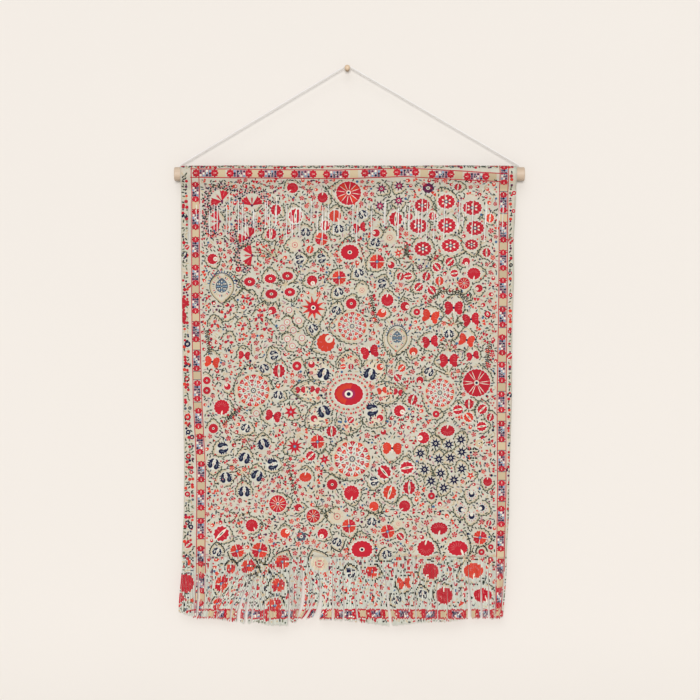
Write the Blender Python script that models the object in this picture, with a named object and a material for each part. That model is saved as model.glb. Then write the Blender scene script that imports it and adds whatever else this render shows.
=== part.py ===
"""Fringed suzani wall hanging on a wooden dowel, hung by a thin cord over a small wall peg.

Metres, +Z up, the front faces -Y. The origin is the middle of the peg's flat back, on the wall.
Tables are in chart units: across is counted to the right and down is counted downward.
"""
import math

import bmesh
import bpy
from mathutils import Vector

# Chart to metres
CHART = 0.00175
PEG_ACROSS = 347.3
PEG_DOWN = 67.8
GAP = 0.0004

# Dowel
DOWEL_R = 0.0120
DOWEL_LEFT = 174.5
DOWEL_RIGHT = 524.4
DOWEL_DOWN = 174.0
DOWEL_ROUND = 0.0012
DOWEL_SIDES = 36
HOLE_INSET = 0.0078
HOLE_DEPTH = 0.0090

# Cord and peg
CORD_D = 0.0020
PEG_SHANK_R = 0.0030
PEG_HEAD_R = 0.0049
PEG_SIDES = 20

# Cloth
CLOTH_T = 0.0014
AXIS_Y = -0.0156
SLEEVE_R = DOWEL_R + 0.0006
SLEEVE_STEPS = 12
SLEEVE_TURN = 120.0
SEAM_DROP = 0.0250
SEAM_DOWN = 189.4
CLOTH_END = 553.2
ROWS = 17
COLUMNS = 22
FOLD_DEPTH = 0.0026

# Side edges of the cloth: down, left across, right across
EDGES = [
    dict(down=160.0, left=181.0, right=516.4),
    dict(down=200.0, left=181.0, right=516.0),
    dict(down=240.0, left=181.0, right=513.8),
    dict(down=275.0, left=181.3, right=514.2),
    dict(down=330.0, left=182.3, right=512.4),
    dict(down=400.0, left=183.0, right=512.0),
    dict(down=460.0, left=184.2, right=510.0),
    dict(down=515.0, left=183.8, right=509.0),
    dict(down=553.2, left=181.9, right=506.6),
    dict(down=575.0, left=180.6, right=505.2),
    dict(down=612.0, left=178.2, right=503.4),
]

# Unwoven band: slits between the strands that stand apart
SLIT_W = 0.0016
SLITS = [
    dict(across=189.0, top=203.0, end=243.0),
    dict(across=201.2, top=203.0, end=219.0),
    dict(across=209.6, top=212.0, end=233.0),
    dict(across=217.3, top=208.0, end=231.0),
    dict(across=226.4, top=206.0, end=235.0),
    dict(across=229.7, top=198.0, end=228.0),
    dict(across=238.5, top=201.0, end=231.0),
    dict(across=242.2, top=206.0, end=236.0),
    dict(across=255.0, top=214.0, end=236.0),
    dict(across=265.4, top=204.0, end=226.0),
    dict(across=276.3, top=200.0, end=224.0),
    dict(across=286.6, top=206.0, end=238.0),
    dict(across=299.4, top=210.0, end=234.0),
    dict(across=311.0, top=202.0, end=222.0),
    dict(across=322.6, top=207.0, end=239.0),
    dict(across=334.0, top=212.0, end=232.0),
    dict(across=352.6, top=207.0, end=234.0),
    dict(across=356.9, top=209.0, end=241.0),
    dict(across=371.6, top=206.0, end=240.0),
    dict(across=385.0, top=203.0, end=225.0),
    dict(across=398.4, top=210.0, end=236.0),
    dict(across=409.2, top=205.0, end=228.0),
    dict(across=421.6, top=203.0, end=237.0),
    dict(across=426.8, top=209.0, end=240.0),
    dict(across=434.2, top=214.0, end=238.0),
    dict(across=444.3, top=205.0, end=236.0),
    dict(across=459.0, top=202.0, end=226.0),
    dict(across=472.4, top=209.0, end=234.0),
    dict(across=485.3, top=212.0, end=239.0),
    dict(across=502.6, top=205.0, end=231.0),
]

# Fringe
STRIP_TOP = CLOTH_END + 0.2
STRIP_END = 557.2
PITCH = 1.40
STRAND_W = 0.0020
STRAND_T = 0.0012
STRAND_STEPS = 5
STAGGER = 0.0009

# Clumps of strands: root span across, tip span across, tip line down, bow of each side
CLUMPS = [
    dict(root=(181.9, 198.0), tip=(178.4, 195.8), end=(612.0, 618.0), bow=(0.0, 0.6)),
    dict(root=(198.0, 206.0), tip=(196.4, 202.0), end=(618.6, 619.0), bow=(2.6, 2.6)),
    dict(root=(206.0, 214.0), tip=(202.7, 206.4), end=(618.6, 618.2), bow=(2.2, 3.0)),
    dict(root=(214.0, 226.0), tip=(207.0, 215.8), end=(618.0, 619.4), bow=(2.4, 1.0)),
    dict(root=(226.0, 247.4), tip=(216.6, 230.0), end=(619.2, 621.2), bow=(1.0, -1.6)),
    dict(root=(247.4, 252.2), tip=(231.6, 236.6), end=(622.0, 621.6), bow=(-1.2, -1.0)),
    dict(root=(252.2, 256.0), tip=(240.4, 244.2), end=(623.4, 623.6), bow=(-1.0, -0.6)),
    dict(root=(256.0, 259.6), tip=(247.6, 250.8), end=(623.6, 624.0), bow=(-0.6, 0.0)),
    dict(root=(259.6, 267.4), tip=(252.6, 263.2), end=(621.2, 624.0), bow=(0.0, 0.0)),
    dict(root=(267.4, 271.0), tip=(264.0, 268.8), end=(624.4, 625.0), bow=(0.0, 0.0)),
    dict(root=(271.0, 289.2), tip=(269.6, 287.2), end=(625.2, 625.6), bow=(0.0, 0.6)),
    dict(root=(289.2, 301.4), tip=(289.8, 295.4), end=(621.6, 623.0), bow=(0.6, 3.4)),
    dict(root=(301.4, 309.0), tip=(296.8, 303.2), end=(619.6, 618.0), bow=(6.4, 7.4)),
    dict(root=(309.0, 317.6), tip=(305.6, 312.6), end=(619.8, 616.6), bow=(6.8, 4.8)),
    dict(root=(317.6, 332.4), tip=(318.8, 331.6), end=(620.6, 620.0), bow=(3.8, 0.0)),
    dict(root=(332.4, 343.6), tip=(333.8, 342.4), end=(620.2, 621.0), bow=(0.0, 0.6)),
    dict(root=(343.6, 352.0), tip=(344.2, 357.0), end=(620.6, 622.4), bow=(0.4, -1.0)),
    dict(root=(352.0, 385.0), tip=(358.6, 389.4), end=(622.2, 626.6), bow=(-1.0, -1.2)),
    dict(root=(385.0, 412.6), tip=(392.0, 415.2), end=(626.4, 623.4), bow=(-0.6, 0.0)),
    dict(root=(412.6, 435.4), tip=(416.8, 437.0), end=(623.2, 621.2), bow=(0.0, 0.0)),
    dict(root=(435.4, 446.4), tip=(438.2, 447.2), end=(622.0, 621.4), bow=(0.0, 0.0)),
    dict(root=(446.4, 468.2), tip=(447.9, 467.6), end=(621.6, 618.6), bow=(0.0, 0.0)),
    dict(root=(468.2, 480.6), tip=(471.3, 480.4), end=(618.2, 618.6), bow=(0.4, 0.0)),
    dict(root=(480.6, 488.4), tip=(482.5, 488.0), end=(618.6, 618.4), bow=(0.4, -0.4)),
    dict(root=(488.4, 495.2), tip=(489.7, 494.6), end=(619.0, 619.2), bow=(0.2, 0.0)),
    dict(root=(495.2, 506.6), tip=(495.3, 502.8), end=(619.2, 617.6), bow=(0.4, 0.8)),
]


def across(u):
    return (u - PEG_ACROSS) * CHART


def down(v):
    return (PEG_DOWN - v) * CHART


def span(table, key, value, want):
    """Straight-line reading of one column of a table at a value of another."""
    for low, high in zip(table, table[1:]):
        if value <= high[key]:
            break
    part = (value - low[key]) / (high[key] - low[key])
    part = min(1.0, max(0.0, part))
    return low[want] + (high[want] - low[want]) * part


def fold(u, v):
    """How far the hanging cloth stands from its plane, towards the wall, in metres."""
    fall = min(1.0, max(0.0, (v - SEAM_DOWN) / 330.0))
    broad = math.sin(u / 27.0 + 0.9) + 0.55 * math.sin(u / 14.6 + v / 160.0 + 2.1)
    corner = math.exp(-((u - 180.0) / 26.0) ** 2) + 0.6 * math.exp(-((u - 508.0) / 20.0) ** 2)
    return FOLD_DEPTH * (0.16 + 0.84 * fall) * broad - 0.0030 * fall * corner


def sag(u):
    """The soft rise and fall of the cloth over the dowel, in metres."""
    return 0.00055 + 0.00035 * math.sin(u / 17.0) + 0.00020 * math.sin(u / 6.1 + 1.0)


def edge(v, part):
    left = span(EDGES, "down", v, "left")
    right = span(EDGES, "down", v, "right")
    return left + (right - left) * part


def finish(name, bm, colour, rough):
    bmesh.ops.recalc_face_normals(bm, faces=bm.faces)
    mesh = bpy.data.meshes.new(name)
    bm.to_mesh(mesh)
    bm.free()
    made = bpy.data.objects.new(name, mesh)
    bpy.context.collection.objects.link(made)
    paint(made, colour, rough)
    return made


def paint(made, colour, rough):
    material = bpy.data.materials.new(made.name + "_look")
    material.use_nodes = True
    shader = material.node_tree.nodes["Principled BSDF"]
    shader.inputs["Base Color"].default_value = colour
    shader.inputs["Roughness"].default_value = rough
    made.data.materials.append(material)


def lathe(profile, sides, axis_point, axis):
    """A closed turned solid from (distance along the axis, radius) pairs, ends capped."""
    bm = bmesh.new()
    rings = []
    for along, radius in profile:
        ring = []
        for k in range(sides):
            turn = 2.0 * math.pi * k / sides
            if axis == "X":
                spot = (along, radius * math.cos(turn), radius * math.sin(turn))
            else:
                spot = (radius * math.cos(turn), along, radius * math.sin(turn))
            ring.append(bm.verts.new(Vector(spot) + axis_point))
        rings.append(ring)
    for low, high in zip(rings, rings[1:]):
        for k in range(sides):
            n = (k + 1) % sides
            bm.faces.new((low[k], low[n], high[n], high[k]))
    bm.faces.new(rings[0])
    bm.faces.new(rings[-1])
    return bm


def subtract(target, cutter):
    cut = target.modifiers.new("cut", "BOOLEAN")
    cut.operation = "DIFFERENCE"
    cut.solver = "EXACT"
    cut.object = cutter
    bpy.context.view_layer.update()
    held = bpy.context.evaluated_depsgraph_get()
    mesh = bpy.data.meshes.new_from_object(target.evaluated_get(held))
    target.modifiers.clear()
    old = target.data
    target.data = mesh
    bpy.data.meshes.remove(old)
    bpy.data.objects.remove(cutter)


def make_dowel():
    left, right, r, c = across(DOWEL_LEFT), across(DOWEL_RIGHT), DOWEL_R, DOWEL_ROUND
    profile = [
        (left, r - c), (left + 0.3 * c, r - 0.3 * c), (left + c, r),
        (right - c, r), (right - 0.3 * c, r - 0.3 * c), (right, r - c),
    ]
    centre = Vector((0.0, AXIS_Y, down(DOWEL_DOWN)))
    dowel = finish("dowel", lathe(profile, DOWEL_SIDES, centre, "X"), (0.78, 0.62, 0.43, 1), 0.55)
    bm = bmesh.new()
    for x in (left + HOLE_INSET, right - HOLE_INSET):
        drill(bm, x, down(DOWEL_DOWN) + DOWEL_R - HOLE_DEPTH, down(DOWEL_DOWN) + DOWEL_R + 0.004)
    subtract(dowel, finish("drill", bm, (1, 1, 1, 1), 0.5))
    return dowel


def drill(bm, x, low, high):
    radius, sides = CORD_D / 2 + GAP + 0.00005, 12
    rings = []
    for z in (low, high):
        ring = []
        for k in range(sides):
            turn = 2.0 * math.pi * (k + 0.5) / sides
            ring.append(bm.verts.new((x + radius * math.cos(turn), AXIS_Y + radius * math.sin(turn), z)))
        rings.append(ring)
    for k in range(sides):
        n = (k + 1) % sides
        bm.faces.new((rings[0][k], rings[0][n], rings[1][n], rings[1][k]))
    bm.faces.new(rings[0])
    bm.faces.new(rings[1])


def make_peg():
    r, h = PEG_SHANK_R, PEG_HEAD_R
    head = AXIS_Y - CORD_D / 2 - GAP
    profile = [
        (0.0, r + 0.0010), (-0.0012, r + 0.0010), (-0.0020, r), (head, r), (head - 0.0002, h - 0.0009),
        (head - 0.0012, h), (head - 0.0026, h), (head - 0.0040, h - 0.0010),
        (head - 0.0047, h - 0.0024), (head - 0.0044, h - 0.0034),
    ]
    return finish("peg", lathe(profile, PEG_SIDES, Vector((0, 0, 0)), "Y"), (0.80, 0.66, 0.49, 1), 0.5)


def cord_route():
    """Route from the left hole's floor, over the peg's shank, to the right hole's floor."""
    over = PEG_SHANK_R + CORD_D / 2 + GAP
    mouth = down(DOWEL_DOWN) + DOWEL_R
    floor = mouth - HOLE_DEPTH + GAP
    half = {}
    for side, hole in ((-1, across(DOWEL_LEFT) + HOLE_INSET), (1, across(DOWEL_RIGHT) - HOLE_INSET)):
        cx, cz = hole - side * over, mouth
        slope = math.atan2(-cz, abs(cx))
        points = [(hole, floor), (hole, mouth)]
        for k in range(1, 4):
            turn = (math.pi / 2 - slope) * k / 3.0
            points.append((cx + side * over * math.cos(turn), cz + over * math.sin(turn)))
        start, stop = points[-1], (side * over * math.sin(slope), over * math.cos(slope))
        for k in range(1, 7):
            t = k / 7.0
            points.append((start[0] + (stop[0] - start[0]) * t, start[1] + (stop[1] - start[1]) * t))
        points.append(stop)
        half[side] = points
    top = [(0.0, over)]
    return [Vector((x, AXIS_Y, z)) for x, z in half[-1] + top + half[1][::-1]]


def smooth_points(route, step):
    """Points along a smooth curve through the route, close at the bends and wider on the straights."""
    points = []
    for k in range(len(route) - 1):
        a, b = route[max(0, k - 1)], route[k]
        c, d = route[k + 1], route[min(len(route) - 1, k + 2)]
        reach = (c - b).length
        lead = (c - a).normalized() * reach
        tail = (d - b).normalized() * reach
        count = max(2, round(reach / step))
        for n in range(count):
            t = n / count
            points.append(
                b * (2 * t**3 - 3 * t**2 + 1) + lead * (t**3 - 2 * t**2 + t)
                + c * (3 * t**2 - 2 * t**3) + tail * (t**3 - t**2)
            )
    return points + [route[-1]]


def make_cord():
    curve = bpy.data.curves.new("cord", "CURVE")
    curve.dimensions = "3D"
    points = smooth_points(cord_route(), 6 * CORD_D)
    print("cord points", len(points))
    spline = curve.splines.new("POLY")
    spline.points.add(len(points) - 1)
    for spot, point in zip(spline.points, points):
        spot.co = (*point, 1.0)
    curve.bevel_depth = CORD_D / 2
    curve.bevel_resolution = 2
    curve.use_fill_caps = True
    cord = bpy.data.objects.new("cord", curve)
    bpy.context.collection.objects.link(cord)
    paint(cord, (0.93, 0.91, 0.88, 1), 0.8)
    return cord


def cloth_column(bm, part):
    """Points of one upright section: sleeve outside, sleeve inside, front and back."""
    top = edge(170.0, part)
    lift = sag(top)
    centre_z = down(DOWEL_DOWN)
    outer, inner = [], []
    for k in range(SLEEVE_STEPS + 1):
        turn = math.radians(SLEEVE_TURN * (1 - 2.0 * k / SLEEVE_STEPS))
        for ring, r in ((outer, SLEEVE_R + CLOTH_T + lift), (inner, SLEEVE_R + lift)):
            ring.append(bm.verts.new((across(top), AXIS_Y - r * math.sin(turn), centre_z + r * math.cos(turn))))
    seam_u = edge(SEAM_DOWN, part)
    tip = bm.verts.new((across(top), AXIS_Y + fold(seam_u, SEAM_DOWN), centre_z - SEAM_DROP))
    front, back = [], []
    for row in range(ROWS + 1):
        v = SEAM_DOWN + (CLOTH_END - SEAM_DOWN) * row / ROWS
        u = edge(v, part)
        y = AXIS_Y + fold(u, v)
        front.append(bm.verts.new((across(u), y - CLOTH_T / 2, down(v))))
        back.append(bm.verts.new((across(u), y + CLOTH_T / 2, down(v))))
    return outer, inner, tip, front, back


def make_cloth():
    bm = bmesh.new()
    columns = [cloth_column(bm, k / COLUMNS) for k in range(COLUMNS + 1)]
    for one, two in zip(columns, columns[1:]):
        lines = []
        for outer, inner, tip, front, back in (one, two):
            lines.append((
                front[::-1] + outer + back + [front[-1]],
                [tip] + inner + [tip],
            ))
        for a, b in zip(*lines):
            for k in range(len(a) - 1):
                bm.faces.new((a[k], a[k + 1], b[k + 1], b[k]))
    for outer, inner, tip, front, back in (columns[0], columns[-1]):
        bm.faces.new((front[0], outer[0], inner[0], tip))
        bm.faces.new((outer[-1], back[0], tip, inner[-1]))
        bm.faces.new((front[0], tip, back[0]))
        for k in range(SLEEVE_STEPS):
            bm.faces.new((outer[k], outer[k + 1], inner[k + 1], inner[k]))
        for k in range(ROWS):
            bm.faces.new((front[k], front[k + 1], back[k + 1], back[k]))
    cloth = finish("cloth", bm, (0.72, 0.66, 0.58, 1), 0.9)
    bm = bmesh.new()
    for slit in SLITS:
        x, half = across(slit["across"]), SLIT_W / 2
        spots = []
        for y in (AXIS_Y - 0.006, AXIS_Y + 0.006):
            for dx, z in ((-half, slit["top"]), (half, slit["top"]), (half, slit["end"]), (-half, slit["end"])):
                spots.append(bm.verts.new((x + dx, y, down(z))))
        for ids in ((0, 1, 2, 3), (4, 5, 6, 7), (0, 1, 5, 4), (1, 2, 6, 5), (2, 3, 7, 6), (3, 0, 4, 7)):
            bm.faces.new([spots[i] for i in ids])
    subtract(cloth, finish("slit_cutter", bm, (1, 1, 1, 1), 0.5))
    return cloth


def strand_list():
    """Each strand: root across, tip across, tip down, bow, and the pitch at root and tip."""
    strands = []
    for n, clump in enumerate(CLUMPS):
        (r0, r1), (t0, t1) = clump["root"], clump["tip"]
        count = max(2, round((r1 - r0) / PITCH))
        for k in range(count):
            part = (k + 0.5) / count
            uneven = 0.55 * math.sin(2.3 * k + 1.7 * n) + 0.35 * math.sin(5.1 * k + n)
            strands.append(dict(
                root=r0 + (r1 - r0) * part,
                tip=t0 + (t1 - t0) * part,
                end=clump["end"][0] + (clump["end"][1] - clump["end"][0]) * part + uneven,
                bow=clump["bow"][0] + (clump["bow"][1] - clump["bow"][0]) * part,
                root_pitch=(r1 - r0) / count * CHART,
                tip_pitch=(t1 - t0) / count * CHART,
            ))
    return strands


def strand_point(strand, t, n):
    """Middle of the strand and its half width at t, from 0 at the root to 1 at the tip."""
    lean = (t * t * (3 - 2 * t)) ** 1.15
    u = strand["root"] + (strand["tip"] - strand["root"]) * lean
    u += strand["bow"] * 6.75 * t * t * (1 - t)
    v = STRIP_END + (strand["end"] - STRIP_END) * t
    y = AXIS_Y + fold(u, v) + (STAGGER if n % 2 else -STAGGER) * t
    pitch = strand["root_pitch"] + (strand["tip_pitch"] - strand["root_pitch"]) * t
    width = max(0.0013, min(STRAND_W, pitch - 0.00045))
    return across(u), y, down(v), width / 2


def make_fringe():
    bm = bmesh.new()
    strands = strand_list()
    low_v = STRIP_END
    front, back, tips = [], [], []
    left, right = edge(low_v, 0.0), edge(low_v, 1.0)

    def wall(u, v, side):
        return bm.verts.new((across(u), AXIS_Y + fold(u, v) + side * CLOTH_T / 2, down(v)))

    for n, strand in enumerate(strands):
        x, y, z, half = strand_point(strand, 0.0, n)
        u_half = half / CHART
        a, b = wall(strand["root"] - u_half, low_v, -1), wall(strand["root"] + u_half, low_v, -1)
        c = wall(strand["root"], low_v, 1)
        front += [a, b]
        back.append(c)
        ring = (a, b, c)
        for k in range(1, STRAND_STEPS + 1):
            x, y, z, half = strand_point(strand, k / STRAND_STEPS, n)
            nxt = (
                bm.verts.new((x - half, y - STRAND_T / 2, z)),
                bm.verts.new((x + half, y - STRAND_T / 2, z)),
                bm.verts.new((x, y + STRAND_T / 2, z)),
            )
            for i in range(3):
                j = (i + 1) % 3
                bm.faces.new((ring[i], ring[j], nxt[j], nxt[i]))
            ring = nxt
        bm.faces.new(ring)
        tips.append(ring)
    ends = [[wall(u, low_v, -1), wall(u, low_v, 1)] for u in (left, right)]
    for n in range(len(strands) - 1):
        bm.faces.new((front[2 * n + 1], front[2 * n + 2], back[n + 1], back[n]))
    bm.faces.new((ends[0][0], front[0], back[0], ends[0][1]))
    bm.faces.new((front[-1], ends[1][0], ends[1][1], back[-1]))
    top_n = 40
    tops = []
    for side in (-1, 1):
        tops.append([wall(edge(STRIP_TOP, k / top_n), STRIP_TOP, side) for k in range(top_n + 1)])
    rows = ([ends[0][0]] + front + [ends[1][0]], [ends[0][1]] + back + [ends[1][1]])
    for top, low in zip(tops, rows):
        zip_rows(bm, top, low)
    for k in range(top_n):
        bm.faces.new((tops[0][k], tops[0][k + 1], tops[1][k + 1], tops[1][k]))
    bm.faces.new((tops[0][0], tops[1][0], ends[0][1], ends[0][0]))
    bm.faces.new((tops[0][-1], ends[1][0], ends[1][1], tops[1][-1]))
    return finish("fringe", bm, (0.70, 0.60, 0.55, 1), 0.9)


def zip_rows(bm, top, low):
    """Triangles between two rows of points that need not match in number."""
    i = j = 0
    while i < len(top) - 1 or j < len(low) - 1:
        step_top = j == len(low) - 1 or (i < len(top) - 1 and top[i + 1].co.x < low[j + 1].co.x)
        if step_top:
            bm.faces.new((top[i], top[i + 1], low[j]))
            i += 1
        else:
            bm.faces.new((top[i], low[j + 1], low[j]))
            j += 1


def main():
    for old in list(bpy.data.objects):
        bpy.data.objects.remove(old, do_unlink=True)
    make_peg()
    make_cord()
    make_dowel()
    make_cloth()
    make_fringe()
    for made in bpy.context.scene.objects:
        if made.type == "MESH":
            flat = sum(len(p.vertices) - 2 for p in made.data.polygons)
            print(made.name, "triangles", flat)


main()
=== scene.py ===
# %% [markdown]
# # A fringed suzani wall hanging
# The real thing is one woven cloth whose top end is turned over a wooden dowel and sewn to its own
# back. A white cord runs from hole to hole of the dowel and over a small wall peg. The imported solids
# give every size; this script dresses them. All lengths are metres, and the flower tables are in
# chart units of 1.75 mm: across grows to the right, down grows downward from the top.

# %% Load the frame
import math
import random

import bpy
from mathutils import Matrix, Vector


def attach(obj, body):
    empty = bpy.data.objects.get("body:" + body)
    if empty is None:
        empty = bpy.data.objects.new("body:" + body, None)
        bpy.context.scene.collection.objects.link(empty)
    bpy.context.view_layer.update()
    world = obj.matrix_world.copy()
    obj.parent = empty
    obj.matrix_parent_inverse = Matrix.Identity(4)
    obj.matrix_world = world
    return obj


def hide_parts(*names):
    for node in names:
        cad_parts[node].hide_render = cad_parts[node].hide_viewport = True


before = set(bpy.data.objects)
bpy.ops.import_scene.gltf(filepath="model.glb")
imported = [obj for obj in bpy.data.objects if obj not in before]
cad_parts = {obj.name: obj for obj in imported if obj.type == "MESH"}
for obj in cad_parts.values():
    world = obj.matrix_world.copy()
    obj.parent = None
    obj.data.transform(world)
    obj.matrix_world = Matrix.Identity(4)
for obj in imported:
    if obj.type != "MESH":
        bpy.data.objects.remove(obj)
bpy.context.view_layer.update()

# %% Sizes shared with the solids
CHART = 0.00175
PEG_ACROSS, PEG_DOWN = 347.3, 67.8
GAP = 0.0004
DOWEL_R, DOWEL_LEFT, DOWEL_RIGHT, DOWEL_DOWN = 0.0120, 174.5, 524.4, 174.0
HOLE_INSET, HOLE_DEPTH = 0.0078, 0.0090
CORD_D, PEG_SHANK_R = 0.0020, 0.0030
CLOTH_T, AXIS_Y, SLEEVE_R = 0.0014, -0.0156, 0.0126
SEAM_DOWN, CLOTH_END, STRIP_END = 189.4, 553.2, 557.2
EDGES = [  # down, left across, right across
    (160.0, 181.0, 516.4), (200.0, 181.0, 516.0), (240.0, 181.0, 513.8), (275.0, 181.3, 514.2),
    (330.0, 182.3, 512.4), (400.0, 183.0, 512.0), (460.0, 184.2, 510.0), (515.0, 183.8, 509.0),
    (553.2, 181.9, 506.6), (575.0, 180.6, 505.2), (612.0, 178.2, 503.4),
]
SLITS = [  # across, top, end
    (189.0, 203, 243), (201.2, 203, 219), (209.6, 212, 233), (217.3, 208, 231), (226.4, 206, 235),
    (229.7, 198, 228), (238.5, 201, 231), (242.2, 206, 236), (255.0, 214, 236), (265.4, 204, 226),
    (276.3, 200, 224), (286.6, 206, 238), (299.4, 210, 234), (311.0, 202, 222), (322.6, 207, 239),
    (334.0, 212, 232), (352.6, 207, 234), (356.9, 209, 241), (371.6, 206, 240), (385.0, 203, 225),
    (398.4, 210, 236), (409.2, 205, 228), (421.6, 203, 237), (426.8, 209, 240), (434.2, 214, 238),
    (444.3, 205, 236), (459.0, 202, 226), (472.4, 209, 234), (485.3, 212, 239), (502.6, 205, 231),
]
SLIT_HALF = 0.46
dice = random.Random(7)


def across(u):
    return (u - PEG_ACROSS) * CHART


def down(v):
    return (PEG_DOWN - v) * CHART


def read_row(table, v, column):
    """Straight-line reading of one column of a table whose first column is v."""
    for low, high in zip(table, table[1:]):
        if v <= high[0]:
            break
    part = min(1.0, max(0.0, (v - low[0]) / (high[0] - low[0])))
    return low[column] + (high[column] - low[column]) * part


def edge(v, part):
    left = read_row(EDGES, v, 1)
    return left + (read_row(EDGES, v, 2) - left) * part


def soft_step(t):
    t = min(1.0, max(0.0, t))
    return t * t * (3 - 2 * t)


# %% [markdown]
# ## Camera
# The photograph is straight on. A long lens three metres off keeps the cloth's sides parallel, and
# its frame is 1.225 m wide at the cloth. The view setting is the standard one, so each thread shows
# in the colour that it is named with.

# %% Camera
VIEW_WIDTH, VIEW_AWAY, FILM = 1.225, 3.0, 36.0
lens = bpy.data.cameras.new("camera")
lens.sensor_width = FILM
lens.lens = FILM * VIEW_AWAY / VIEW_WIDTH
camera = bpy.data.objects.new("camera", lens)
camera.location = (across(350), AXIS_Y - VIEW_AWAY, down(350))
camera.rotation_euler = (math.radians(90), 0, 0)
bpy.context.scene.collection.objects.link(camera)
bpy.context.scene.camera = camera
bpy.context.scene.view_settings.view_transform = "Standard"
print("lens", round(lens.lens, 1), "mm")

# %% [markdown]
# ## Cord
# A limp white cotton cord, 2 mm thick and pulled taut by the hanging's weight. It leaves the dowel
# straight up, bends towards the peg, rides over its shank and comes down again. It could be a plain
# curve, but a tube with three twisted lobes shows the plies.

# %% Cord route
CORD_STEP, PLY_LEAD, PLY_DEPTH, CORD_SIDES = 0.0007, 0.0052, 0.10, 12


def cord_route():
    over = PEG_SHANK_R + CORD_D / 2 + GAP
    mouth = down(DOWEL_DOWN) + DOWEL_R
    floor = mouth - HOLE_DEPTH + GAP
    half = {}
    for side, hole in ((-1, across(DOWEL_LEFT) + HOLE_INSET), (1, across(DOWEL_RIGHT) - HOLE_INSET)):
        cx, cz = hole - side * over, mouth
        slope = math.atan2(-cz, abs(cx))
        points = [(hole, floor), (hole, mouth)]
        for k in range(1, 7):
            turn = (math.pi / 2 - slope) * k / 6.0
            points.append((cx + side * over * math.cos(turn), cz + over * math.sin(turn)))
        for k in range(5):
            lean = slope * (1 - k / 5.0)
            points.append((side * over * math.sin(lean), over * math.cos(lean)))
        half[side] = points
    route = half[-1] + [(0.0, over)] + half[1][::-1]
    return [Vector((x, AXIS_Y, z)) for x, z in route]


def even_points(route, step):
    points = []
    for a, b in zip(route, route[1:]):
        count = max(1, round((b - a).length / step))
        points += [a + (b - a) * (k / count) for k in range(count)]
    return points + [route[-1]]


# %% Mesh helper
def new_object(name, data):
    made = bpy.data.objects.new(name, data)
    bpy.context.scene.collection.objects.link(made)
    return made


def make_piece(name, verts, faces, smooth=True):
    mesh = bpy.data.meshes.new(name)
    mesh.from_pydata([tuple(v) for v in verts], [], faces)
    mesh.validate()
    if smooth:
        mesh.shade_smooth()
    return new_object(name, mesh)


def evaluated_mesh(made):
    """The mesh that an object's modifiers give."""
    held = bpy.context.evaluated_depsgraph_get()
    return bpy.data.meshes.new_from_object(made.evaluated_get(held))


def count_triangles(made):
    return sum(len(p.vertices) - 2 for p in made.data.polygons)


# %% Cord tube
def make_cord():
    points = even_points(cord_route(), CORD_STEP)
    verts, faces, walked = [], [], 0.0
    for k, spot in enumerate(points):
        ahead = (points[min(k + 1, len(points) - 1)] - points[max(k - 1, 0)]).normalized()
        side = Vector((0, 1, 0))
        up = ahead.cross(side)
        if k:
            walked += (spot - points[k - 1]).length
        twist = 2 * math.pi * walked / PLY_LEAD
        for n in range(CORD_SIDES):
            turn = 2 * math.pi * n / CORD_SIDES
            r = CORD_D / 2 * (1 - PLY_DEPTH * (0.5 - 0.5 * math.cos(3 * (turn + twist))))
            verts.append(spot + side * (r * math.cos(turn)) + up * (r * math.sin(turn)))
    for k in range(len(points) - 1):
        for n in range(CORD_SIDES):
            m = (n + 1) % CORD_SIDES
            a, b = k * CORD_SIDES, (k + 1) * CORD_SIDES
            faces.append((a + n, b + n, b + m, a + m))
    last = (len(points) - 1) * CORD_SIDES
    faces.append(tuple(range(CORD_SIDES)))
    faces.append(tuple(last + n for n in reversed(range(CORD_SIDES))))
    made = make_piece("twisted_cord", verts, faces)
    return made, points


cord, cord_points = make_cord()

# %% [markdown]
# ## The cloth's surface
# Every stitched shape has to lie on the same folds, so one function gives a point of the cloth's
# front for a place in the chart. Below the seam it is the hanging panel; above, the chart line runs
# up the slope and round the sleeve, so a flower keeps its size there.

# %% Surface of the cloth
SLEEVE_MID = SLEEVE_R + CLOTH_T / 2
TURN_FRONT = math.radians(120)
FOLD_DEPTH, FALL_LONG, PROFILE_STEP = 0.0026, 330.0, 0.25


def along(a, b, k, count):
    """The value k steps of count on the way from a to b."""
    return a + (b - a) * k / count


def fold(u, v):
    fall = min(1.0, max(0.0, (v - SEAM_DOWN) / FALL_LONG))
    broad = math.sin(u / 27.0 + 0.9) + 0.55 * math.sin(u / 14.6 + v / 160.0 + 2.1)
    corner = math.exp(-((u - 180.0) / 26.0) ** 2) + 0.6 * math.exp(-((u - 508.0) / 20.0) ** 2)
    soft = 0.00022 * math.sin(u / 8.3 + 0.8 * math.sin(v / 47.0)) * fall
    return FOLD_DEPTH * (0.16 + 0.84 * fall) * broad - 0.0030 * fall * corner + soft


def sag(u):
    return 0.00055 + 0.00035 * math.sin(u / 17.0) + 0.00020 * math.sin(u / 6.1 + 1.0)


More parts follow.
